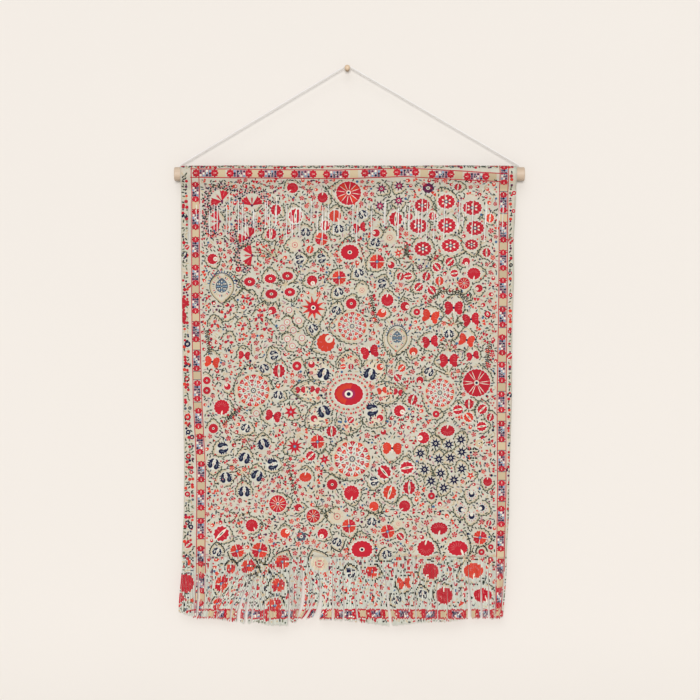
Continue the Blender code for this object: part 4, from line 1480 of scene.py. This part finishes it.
def inside_outline(u, v, points):
    odd = False
    for k, (x1, y1) in enumerate(points):
        x0, y0 = points[k - 1]
        if (y0 > v) != (y1 > v) and u < (x1 - x0) * (v - y0) / (y1 - y0) + x0:
            odd = not odd
    return odd


def colour_at(u, v):
    found = "ground"
    for colour, points in chart_cells.get((int(u // CELL), int(v // CELL)), ()):
        if inside_outline(u, v, points):
            found = colour
    return found


# %% Strands
def make_strands():
    verts, faces, tones = [], [], []
    for n, strand in enumerate(strand_list()):
        base, drift = len(verts), 0.3 * math.sin(n * 2.7) + 0.2 * math.sin(n * 7.1)
        # The strands' thread colours are painted about 30 per cent lighter than on the panel, a painted lift
        # against the shade that falls between the strands; the sine adds a small random tone.
        shade = 1.30 + 0.07 * math.sin(n * 5.3)
        for k in range(STRAND_STEPS + 1):
            t = k / STRAND_STEPS
            x, y, z, half = strand_point(strand, t, n)
            z += 0.0011 * (1 - t) if k == 0 else 0.0
            narrow = 1.0 if k < STRAND_STEPS else 0.55
            for side in range(STRAND_SIDES):
                a = TAU * side / STRAND_SIDES
                verts.append((x + half * narrow * math.cos(a), y + STRAND_T / 2 * narrow * math.sin(a), z))
        for k in range(STRAND_STEPS):
            v = along(STRIP_END, strand["end"], k + 0.5, STRAND_STEPS) + drift * min(1.0, k / 6.0)
            for side in range(STRAND_SIDES):
                nxt = (side + 1) % STRAND_SIDES
                a, b = base + k * STRAND_SIDES, base + (k + 1) * STRAND_SIDES
                faces.append((a + side, b + side, b + nxt, a + nxt))
                aim = TAU * (side + 0.5) / STRAND_SIDES
                red, green, blue, _ = thread(colour_at(strand["root"] + 0.4 * math.cos(aim), v))
                tones.append((red * shade, green * shade, blue * shade, 1.0))
        last = base + STRAND_STEPS * STRAND_SIDES
        faces.append(tuple(base + side for side in range(STRAND_SIDES)))
        faces.append(tuple(last + side for side in reversed(range(STRAND_SIDES))))
        tones += [thread("ground")] * 2
    mesh = bpy.data.meshes.new("fringe_strands")
    mesh.from_pydata(verts, [], faces)
    made = new_object("fringe_strands", mesh)
    colour_faces(mesh, tones)
    mesh.shade_smooth()
    return made


strands = make_strands()
print("fringe", len(strand_list()), "strands", count_triangles(strands), "triangles")

# %% [markdown]
# ## Shared finishes
# Weave, stitch and grain are each one shader node group with named inputs, so every material that
# needs one can place it with its own sizes. The groups give only heights and tones; the stitch tone
# follows its height, as painted shade between the stitches. Each material keeps its own Principled
# shader.

# %% Node helpers
def new_group(name, inputs, outputs):
    group = bpy.data.node_groups.new(name, "ShaderNodeTree")
    for label, kind, value in inputs:
        socket = group.interface.new_socket(name=label, in_out="INPUT", socket_type=kind)
        if value is not None:
            socket.default_value = value
    for label, kind in outputs:
        group.interface.new_socket(name=label, in_out="OUTPUT", socket_type=kind)
    return group, group.nodes.new("NodeGroupInput"), group.nodes.new("NodeGroupOutput")


def maths(tree, operation, first, second=None):
    node = tree.nodes.new("ShaderNodeMath")
    node.operation = operation
    for socket, value in zip(node.inputs, (first, second)):
        if value is None:
            continue
        if isinstance(value, (int, float)):
            socket.default_value = value
        else:
            tree.links.new(value, socket)
    return node.outputs[0]


def noise(tree, vector, scale, detail=2.0):
    node = tree.nodes.new("ShaderNodeTexNoise")
    node.inputs["Scale"].default_value = scale
    node.inputs["Detail"].default_value = detail
    tree.links.new(vector, node.inputs["Vector"])
    return node.outputs["Fac"]


def split_axes(tree, vector):
    node = tree.nodes.new("ShaderNodeSeparateXYZ")
    tree.links.new(vector, node.inputs[0])
    return node.outputs


def new_material(name, roughness):
    material = bpy.data.materials.new(name)
    material.use_nodes = True
    tree = material.node_tree
    shader = tree.nodes["Principled BSDF"]
    shader.inputs["Roughness"].default_value = roughness
    return material, tree, shader


def place_group(tree, group, vector, **values):
    node = tree.nodes.new("ShaderNodeGroup")
    node.node_tree = group
    tree.links.new(vector, node.inputs["Vector"])
    for label, value in values.items():
        node.inputs[label.replace("_", " ")].default_value = value
    return node


def bump(tree, shader, height, strength, distance):
    node = tree.nodes.new("ShaderNodeBump")
    node.inputs["Strength"].default_value = strength
    node.inputs["Distance"].default_value = distance
    tree.links.new(height, node.inputs["Height"])
    tree.links.new(node.outputs["Normal"], shader.inputs["Normal"])


def blend_colour(tree, factor, dark, light):
    node = tree.nodes.new("ShaderNodeValToRGB")
    node.color_ramp.elements[0].color = dark
    node.color_ramp.elements[1].color = light
    tree.links.new(factor, node.inputs["Fac"])
    return node.outputs["Color"]


def object_place(tree):
    return tree.nodes.new("ShaderNodeTexCoord").outputs["Object"]


def painted(tree, shader, tone):
    """The thread colours of the attribute under a tone, with little gloss: a woven tone on the strands, and
    painted shade between the stitches on the satin thread.
    """
    paint = tree.nodes.new("ShaderNodeVertexColor")
    paint.layer_name = "thread"
    tree.links.new(multiply(tree, paint.outputs["Color"], tone), shader.inputs["Base Color"])
    shader.inputs["Specular IOR Level"].default_value = 0.22


def multiply(tree, first, second):
    """The two colours multiplied, as dye over a woven tone; on the satin thread that tone is painted shade
    between the stitches.
    """
    mix = tree.nodes.new("ShaderNodeMix")
    mix.data_type, mix.blend_type = "RGBA", "MULTIPLY"
    mix.inputs[0].default_value = 1.0
    tree.links.new(first, mix.inputs[6])
    tree.links.new(second, mix.inputs[7])
    return mix.outputs[2]


def colour_of(*channels):
    return tuple(linear(c) for c in channels) + (1.0,)


# %% Weave, stitch and grain groups
VECTOR, FLOAT = "NodeSocketVector", "NodeSocketFloat"
HEIGHT_AND_TONE = [("Height", FLOAT), ("Tone", FLOAT)]


def wave(group, axis, pitch):
    return maths(group, "SINE", maths(group, "DIVIDE", maths(group, "MULTIPLY", axis, TAU), pitch))


def mix_tones(group, first, second):
    """Six parts of the first tone and four of the second."""
    return maths(group, "ADD", maths(group, "MULTIPLY", first, 0.6), maths(group, "MULTIPLY", second, 0.4))


def weave_group():
    group, inn, out = new_group("plain_weave", [
        ("Vector", VECTOR, None), ("Warp pitch", FLOAT, 0.0012), ("Weft pitch", FLOAT, 0.0010),
    ], HEIGHT_AND_TONE)
    x, _, z = split_axes(group, inn.outputs["Vector"])
    warp, weft = wave(group, x, inn.outputs["Warp pitch"]), wave(group, z, inn.outputs["Weft pitch"])
    height = maths(group, "MULTIPLY", warp, weft)
    group.links.new(maths(group, "MULTIPLY_ADD", height, 0.5), out.inputs["Height"])
    cloudy, fine = noise(group, inn.outputs["Vector"], 38.0, 4.0), noise(group, inn.outputs["Vector"], 900.0)
    group.links.new(mix_tones(group, cloudy, fine), out.inputs["Tone"])
    return group


def stitch_group():
    group, inn, out = new_group("satin_stitch", [
        ("Vector", VECTOR, None), ("Stitch pitch", FLOAT, 0.05),
    ], HEIGHT_AND_TONE)
    x = split_axes(group, inn.outputs["Vector"])[0]
    rise = maths(group, "MULTIPLY", wave(group, x, inn.outputs["Stitch pitch"]), 0.35)
    height = maths(group, "ADD", rise, noise(group, inn.outputs["Vector"], 9.0, 3.0))
    group.links.new(height, out.inputs["Height"])
    # The tone follows the height, so the grooves between stitches are painted darker and the ridges lighter:
    # painted shade over a random noise mottle.
    group.links.new(maths(group, "MULTIPLY_ADD", height, 0.35), out.inputs["Tone"])
    return group


def grain_group():
    group, inn, out = new_group("wood_grain", [
        ("Vector", VECTOR, None), ("Grain scale", FLOAT, 900.0),
    ], HEIGHT_AND_TONE)
    lines = group.nodes.new("ShaderNodeTexNoise")
    lines.inputs["Detail"].default_value = 5.0
    group.links.new(inn.outputs["Vector"], lines.inputs["Vector"])
    group.links.new(inn.outputs["Grain scale"], lines.inputs["Scale"])
    broad = noise(group, inn.outputs["Vector"], 70.0)
    group.links.new(lines.outputs["Fac"], out.inputs["Height"])
    group.links.new(mix_tones(group, lines.outputs["Fac"], broad), out.inputs["Tone"])
    return group


WEAVE, STITCH, GRAIN = weave_group(), stitch_group(), grain_group()
print("shared groups", WEAVE.name, STITCH.name, GRAIN.name)

# %% [markdown]
# ## Cloth, thread, wood and cord materials
# The ground is a plain pale weave with a soft mottle, and its unwoven band shows upright ribs, one
# for each strand. Thread takes its colour from the attribute, with a satin sheen and painted shade in
# the grooves between its fine stitches.
# Wood has long grain along its piece, and the cord a matte cotton fuzz.

# %% Cloth, thread, wood and cord
WHITE = (1.0, 1.0, 1.0, 1)
RIB_PITCH, BARE_TOP, BARE_END = 0.00245, 198, 243


def cloth_material():
    material, tree, shader = new_material("pale_ground_weave", 0.92)
    place = object_place(tree)
    weave = place_group(tree, WEAVE, place, Warp_pitch=0.0013, Weft_pitch=0.0011)
    colour = blend_colour(tree, weave.outputs["Tone"], colour_of(186, 185, 172), colour_of(225, 225, 213))
    patchy = maths(tree, "SUBTRACT", noise(tree, place, 190.0, 3.0), 0.5)
    patchy = maths(tree, "MULTIPLY_ADD", patchy, 3.2)
    stain = blend_colour(tree, patchy, (0.95, 0.97, 0.92, 1), (1.0, 0.86, 0.80, 1))
    tree.links.new(multiply(tree, colour, stain), shader.inputs["Base Color"])
    x, _, z = split_axes(tree, place)
    low = maths(tree, "GREATER_THAN", z, down(BARE_END))
    high = maths(tree, "LESS_THAN", z, down(BARE_TOP))
    mask = maths(tree, "MULTIPLY", low, high)
    rib = maths(tree, "SINE", maths(tree, "MULTIPLY", x, TAU / RIB_PITCH))
    ribs = maths(tree, "MULTIPLY", maths(tree, "MULTIPLY", rib, 1.4), mask)
    bump(tree, shader, maths(tree, "ADD", weave.outputs["Height"], ribs), 0.5, 0.0003)
    shader.inputs["Sheen Weight"].default_value = 0.15
    return material


def thread_material():
    material, tree, shader = new_material("satin_thread", 0.72)
    uv = tree.nodes.new("ShaderNodeUVMap")
    uv.uv_map = "stitch"
    stitch = place_group(tree, STITCH, uv.outputs["UV"], Stitch_pitch=0.06)
    # The stitch tone paints the thread up to a fifth darker in the grooves between stitches: painted shade,
    # with a random mottle.
    painted(tree, shader, blend_colour(tree, stitch.outputs["Tone"], (0.80, 0.80, 0.80, 1), WHITE))
    bump(tree, shader, stitch.outputs["Height"], 0.5, 0.00018)
    shader.inputs["Sheen Weight"].default_value = 0.06
    return material


def strand_material():
    material, tree, shader = new_material("coloured_warp", 0.85)
    weave = place_group(tree, WEAVE, object_place(tree), Warp_pitch=0.0009, Weft_pitch=0.0016)
    painted(tree, shader, blend_colour(tree, weave.outputs["Tone"], (0.78, 0.78, 0.78, 1), WHITE))
    bump(tree, shader, weave.outputs["Height"], 0.5, 0.0002)
    return material


def wood_material(name, stretch, dark, light):
    material, tree, shader = new_material(name, 0.5)
    mapping = tree.nodes.new("ShaderNodeMapping")
    mapping.inputs["Scale"].default_value = stretch
    tree.links.new(object_place(tree), mapping.inputs["Vector"])
    grain = place_group(tree, GRAIN, mapping.outputs["Vector"], Grain_scale=620.0)
    tree.links.new(blend_colour(tree, grain.outputs["Tone"], dark, light), shader.inputs["Base Color"])
    bump(tree, shader, grain.outputs["Height"], 0.3, 0.0002)
    return material


def cord_material():
    material, tree, shader = new_material("white_cotton", 0.9)
    fuzz = place_group(tree, WEAVE, object_place(tree), Warp_pitch=0.0006, Weft_pitch=0.0006)
    colour = blend_colour(tree, fuzz.outputs["Tone"], colour_of(234, 230, 227), colour_of(252, 250, 247))
    tree.links.new(colour, shader.inputs["Base Color"])
    bump(tree, shader, fuzz.outputs["Height"], 0.4, 0.00012)
    return material


def dress(made, material):
    made.data.materials.clear()
    made.data.materials.append(material)


thread_cloth = thread_material()
dress(panel, cloth_material())
for made in stitched:
    dress(made, thread_cloth)
dress(strands, strand_material())
dress(cord, cord_material())
for node, stretch, dark, light in (
    ("dowel", (0.06, 1.0, 1.0), colour_of(184, 156, 128), colour_of(226, 206, 184)),
    ("peg", (1.0, 0.1, 1.0), colour_of(198, 164, 128), colour_of(236, 214, 186)),
):
    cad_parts[node].material_slots[0].material = wood_material("pale_" + node, stretch, dark, light)
print("materials", len(bpy.data.materials))

# %% [markdown]
# ## Leafy vines
# A vine is one rule followed along a path: a leaflet every few millimetres, leaning to one
# side and then the other. That is what Geometry Nodes do well, so the paths become curves on the
# cloth and one tree grows the leaflets on them.

# %% Vine tree
VINE_RISE = 0.00040


def line_curve(name, paths):
    """One curve object with a straight-line spline for each path."""
    curve = bpy.data.curves.new(name, "CURVE")
    curve.dimensions = "3D"
    for path in paths:
        spline = curve.splines.new("POLY")
        spline.points.add(len(path) - 1)
        for spot, point in zip(spline.points, path):
            spot.co = (*point, 1.0)
    return new_object(name, curve)


def new_tree(name, settings, result):
    """A Geometry Nodes tree with its inputs, their identifiers, and its two end nodes."""
    tree, sockets = bpy.data.node_groups.new(name, "GeometryNodeTree"), {}
    tree.interface.new_socket(name="Paths", in_out="INPUT", socket_type="NodeSocketGeometry")
    for label, kind in settings:
        socket = tree.interface.new_socket(name=label, in_out="INPUT", socket_type="NodeSocket" + kind)
        sockets[label] = socket.identifier
    tree.interface.new_socket(name=result, in_out="OUTPUT", socket_type="NodeSocketGeometry")
    return tree, sockets, tree.nodes.new("NodeGroupInput"), tree.nodes.new("NodeGroupOutput")


def finish_tree(tree, inn, geometry, socket):
    """Makes the instances real and gives them their thread."""
    real, coloured = tree.nodes.new("GeometryNodeRealizeInstances"), tree.nodes.new("GeometryNodeSetMaterial")
    tree.links.new(geometry, real.inputs["Geometry"])
    tree.links.new(real.outputs["Geometry"], coloured.inputs["Geometry"])
    tree.links.new(inn.outputs["Thread"], coloured.inputs["Material"])
    tree.links.new(coloured.outputs["Geometry"], socket)


def grow(name, paths, tree, sockets, **settings):
    """The mesh that a tree makes on some paths, as an object."""
    lines = line_curve("paths_of_" + name, paths)
    modifier = lines.modifiers.new(tree.name, "NODES")
    modifier.node_group = tree
    for label, value in settings.items():
        modifier[sockets[label.replace("_", " ")]] = value
    mesh = evaluated_mesh(lines)
    bpy.data.objects.remove(lines)
    return new_object(name, mesh)


def vine_tree():
    tree, sockets, inn, out = new_tree("leafy_vine", (
        ("Leaf spacing", "Float"), ("Leaf length", "Float"), ("Leaf width", "Float"),
        ("Leaf thickness", "Float"), ("Lean", "Float"), ("Seed", "Int"), ("Thread", "Material"),
    ), "Leaflets")
    new, link = tree.nodes.new, tree.links.new

    even = new("GeometryNodeResampleCurve")
    even.mode = "LENGTH"
    link(inn.outputs["Paths"], even.inputs["Curve"])
    link(inn.outputs["Leaf spacing"], even.inputs["Length"])

    blade = new("GeometryNodeMeshUVSphere")
    blade.inputs["Radius"].default_value = 0.5
    blade.inputs["Segments"].default_value = 4
    blade.inputs["Rings"].default_value = 2
    size = new("ShaderNodeCombineXYZ")
    for axis, label in enumerate(("Leaf length", "Leaf width", "Leaf thickness")):
        link(inn.outputs[label], size.inputs[axis])
    shift = new("ShaderNodeCombineXYZ")
    link(maths(tree, "MULTIPLY", inn.outputs["Leaf length"], 0.4), shift.inputs[0])
    shaped = new("GeometryNodeTransform")
    link(blade.outputs["Mesh"], shaped.inputs["Geometry"])
    link(size.outputs[0], shaped.inputs["Scale"])
    link(shift.outputs[0], shaped.inputs["Translation"])

    heading = new("FunctionNodeAlignRotationToVector")
    heading.axis = "X"
    link(new("GeometryNodeInputTangent").outputs[0], heading.inputs["Vector"])
    facing = new("FunctionNodeAlignRotationToVector")
    facing.axis, facing.pivot_axis = "Z", "X"
    facing.inputs["Vector"].default_value = (0, -1, 0)
    link(heading.outputs[0], facing.inputs["Rotation"])

    odd = maths(tree, "MODULO", new("GeometryNodeInputIndex").outputs[0], 2.0)
    side = maths(tree, "SUBTRACT", maths(tree, "MULTIPLY", odd, 2.0), 1.0)
    stray = new("FunctionNodeRandomValue")
    stray.data_type = "FLOAT"
    stray.inputs[2].default_value = -0.25
    stray.inputs[3].default_value = 0.25
    link(inn.outputs["Seed"], stray.inputs["Seed"])
    lean = maths(tree, "ADD", maths(tree, "MULTIPLY", side, inn.outputs["Lean"]), stray.outputs[1])
    turn = new("ShaderNodeCombineXYZ")
    link(lean, turn.inputs[2])
    to_rotation = new("FunctionNodeEulerToRotation")
    link(turn.outputs[0], to_rotation.inputs[0])
    turned = new("FunctionNodeRotateRotation")
    turned.rotation_space = "LOCAL"
    link(facing.outputs[0], turned.inputs["Rotation"])
    link(to_rotation.outputs[0], turned.inputs["Rotate By"])

    grown = new("GeometryNodeInstanceOnPoints")
    link(even.outputs["Curve"], grown.inputs["Points"])
    link(shaped.outputs["Geometry"], grown.inputs["Instance"])
    link(turned.outputs[0], grown.inputs["Rotation"])
    finish_tree(tree, inn, grown.outputs["Instances"], out.inputs["Leaflets"])
    return tree, sockets


# %% Grow the vines
def vine_material():
    material, tree, shader = new_material("dark_leaf_thread", 0.75)
    place = object_place(tree)
    weave = place_group(tree, WEAVE, place, Warp_pitch=0.0008, Weft_pitch=0.0008)
    colour = blend_colour(tree, noise(tree, place, 42.0), colour_of(14, 22, 26), colour_of(40, 52, 38))
    tree.links.new(colour, shader.inputs["Base Color"])
    bump(tree, shader, weave.outputs["Height"], 0.4, 0.00015)
    return material


vine_paths = [[surface(u, v, CLOTH_T / 2 + VINE_RISE) for u, v in run] for run in grown_vines]
leafy_vines = grow(
    "leafy_vines", vine_paths, *vine_tree(), Leaf_spacing=0.0044, Leaf_length=0.0042, Leaf_width=0.0022,
    Leaf_thickness=0.0009, Lean=0.62, Seed=5, Thread=vine_material(),
)
print("leafy vines", count_triangles(leafy_vines), "triangles")

# %% [markdown]
# ## Bare threads of the unwoven band
# Just below the sleeve the weft is missing, and single pale warp threads show in the slits and
# beside them. Each is a round thread along a short path, so a second tree sweeps a circle along
# every path at once.

# %% Paths of the bare threads
WARP_R, WARP_SIDES, EXTRA_WARPS = 0.00062, 6, 34


def bare_paths():
    left, right = edge(220, 0), edge(220, 1)
    paths = []
    for u, top, end in SLITS:
        part = (u - left) / (right - left)
        rows = [top - 3 + (end - top + 6) * k / 12.0 for k in range(13)]
        paths.append([surface(edge(v, part), v, CLOTH_T / 2 - 0.00025) for v in rows])
    for _ in range(EXTRA_WARPS):
        u, top = dice.uniform(194, 505), dice.uniform(199, 216)
        long = dice.uniform(13, 26)
        part = (u - left) / (right - left)
        rows = [top + long * k / 8.0 for k in range(9)]
        paths.append([surface(edge(v, part), v, CLOTH_T / 2 + 0.00030) for v in rows])
    return paths


# %% Warp tree
def warp_tree():
    tree, sockets, inn, out = new_tree("bare_warp", (
        ("Thread radius", "Float"), ("Sides", "Int"), ("Thread", "Material"),
    ), "Threads")
    new, link = tree.nodes.new, tree.links.new
    ring = new("GeometryNodeCurvePrimitiveCircle")
    link(inn.outputs["Sides"], ring.inputs["Resolution"])
    link(inn.outputs["Thread radius"], ring.inputs["Radius"])
    swept = new("GeometryNodeCurveToMesh")
    swept.inputs["Fill Caps"].default_value = True
    link(inn.outputs["Paths"], swept.inputs["Curve"])
    link(ring.outputs["Curve"], swept.inputs["Profile Curve"])
    finish_tree(tree, inn, swept.outputs["Mesh"], out.inputs["Threads"])
    return tree, sockets


# %% Sweep the bare threads
bare_warps = grow(
    "bare_warps", bare_paths(), *warp_tree(), Thread_radius=WARP_R, Sides=WARP_SIDES,
    Thread=cord.data.materials[0],
)
print("bare warps", count_triangles(bare_warps), "triangles")

# %% [markdown]
# ## Riding and replacing
# Nothing moves here, so every piece rides on the one body. The cloth, the fringe and the cord stand
# for their solids, which are hidden.

# %% Frame calls
for piece, node, slot in ((panel, "cloth", "cloth"), (strands, "fringe", "fringe"), (cord, "cord", "cord")):
    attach(piece, "root")
    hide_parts(node)
on_panel = stitched + [leafy_vines, bare_warps]
for piece in on_panel:
    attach(piece, "root")

# %% [markdown]
# ## Stage and light
# A pale wall stands behind the hanging and a pale floor below it. A soft light from almost straight
# ahead reaches the wall between the strands, as in the photograph. A weaker one from high up gives
# the faint shading under the dowel and the hem. The wall holds back no light from what is behind
# it, so that the cloth's back can be looked at too.

# %% Stage
def stage_plane(name, corners, material):
    made = make_piece(name, corners, [(0, 1, 2, 3)], smooth=False)
    dress(made, material)
    return made


def stage_material(name, colour, see_through_back):
    material, tree, shader = new_material(name, 0.95)
    dark = tuple(c * 0.985 for c in colour[:3]) + (1.0,)
    mottle = blend_colour(tree, noise(tree, object_place(tree), 3.0), dark, colour)
    tree.links.new(mottle, shader.inputs["Base Color"])
    if see_through_back:
        clear = tree.nodes.new("ShaderNodeBsdfTransparent")
        mix = tree.nodes.new("ShaderNodeMixShader")
        tree.links.new(tree.nodes.new("ShaderNodeNewGeometry").outputs["Backfacing"], mix.inputs[0])
        tree.links.new(shader.outputs[0], mix.inputs[1])
        tree.links.new(clear.outputs[0], mix.inputs[2])
        tree.links.new(mix.outputs[0], tree.nodes["Material Output"].inputs["Surface"])
    return material


WALL_Y, WALL_TOP, FLOOR_Z, STAGE = 0.0012, 2.5, -1.25, 4.0
wall = stage_plane("backdrop", [
    (-STAGE, WALL_Y, FLOOR_Z), (STAGE, WALL_Y, FLOOR_Z), (STAGE, WALL_Y, WALL_TOP),
    (-STAGE, WALL_Y, WALL_TOP),
], stage_material("pale_wall", colour_of(234, 228, 221), True))
wall.visible_shadow = wall.visible_diffuse = False
stage_plane("floor", [
    (-STAGE, -STAGE, FLOOR_Z), (STAGE, -STAGE, FLOOR_Z), (STAGE, STAGE, FLOOR_Z), (-STAGE, STAGE, FLOOR_Z),
], stage_material("pale_floor", colour_of(238, 233, 226), False))


# %% Lights and world
def sun(name, place, strength, spread):
    """A sun that shines from a place towards the origin."""
    data = bpy.data.lights.new(name, "SUN")
    data.energy, data.angle = strength, spread
    made = new_object(name, data)
    made.location = place
    made.rotation_euler = (Vector((0, 0, 0)) - Vector(place)).to_track_quat("-Z", "Y").to_euler()


sun("wide_window", (-0.04, -3.0, 0.24), 1.86, 0.30)
sun("high_window", (-0.3, -2.2, 2.2), 0.42, 0.60)
world = bpy.data.worlds.new("soft_room")
world.use_nodes = True
background = world.node_tree.nodes["Background"].inputs
background["Color"].default_value, background["Strength"].default_value = WHITE, 0.40
bpy.context.scene.world = world
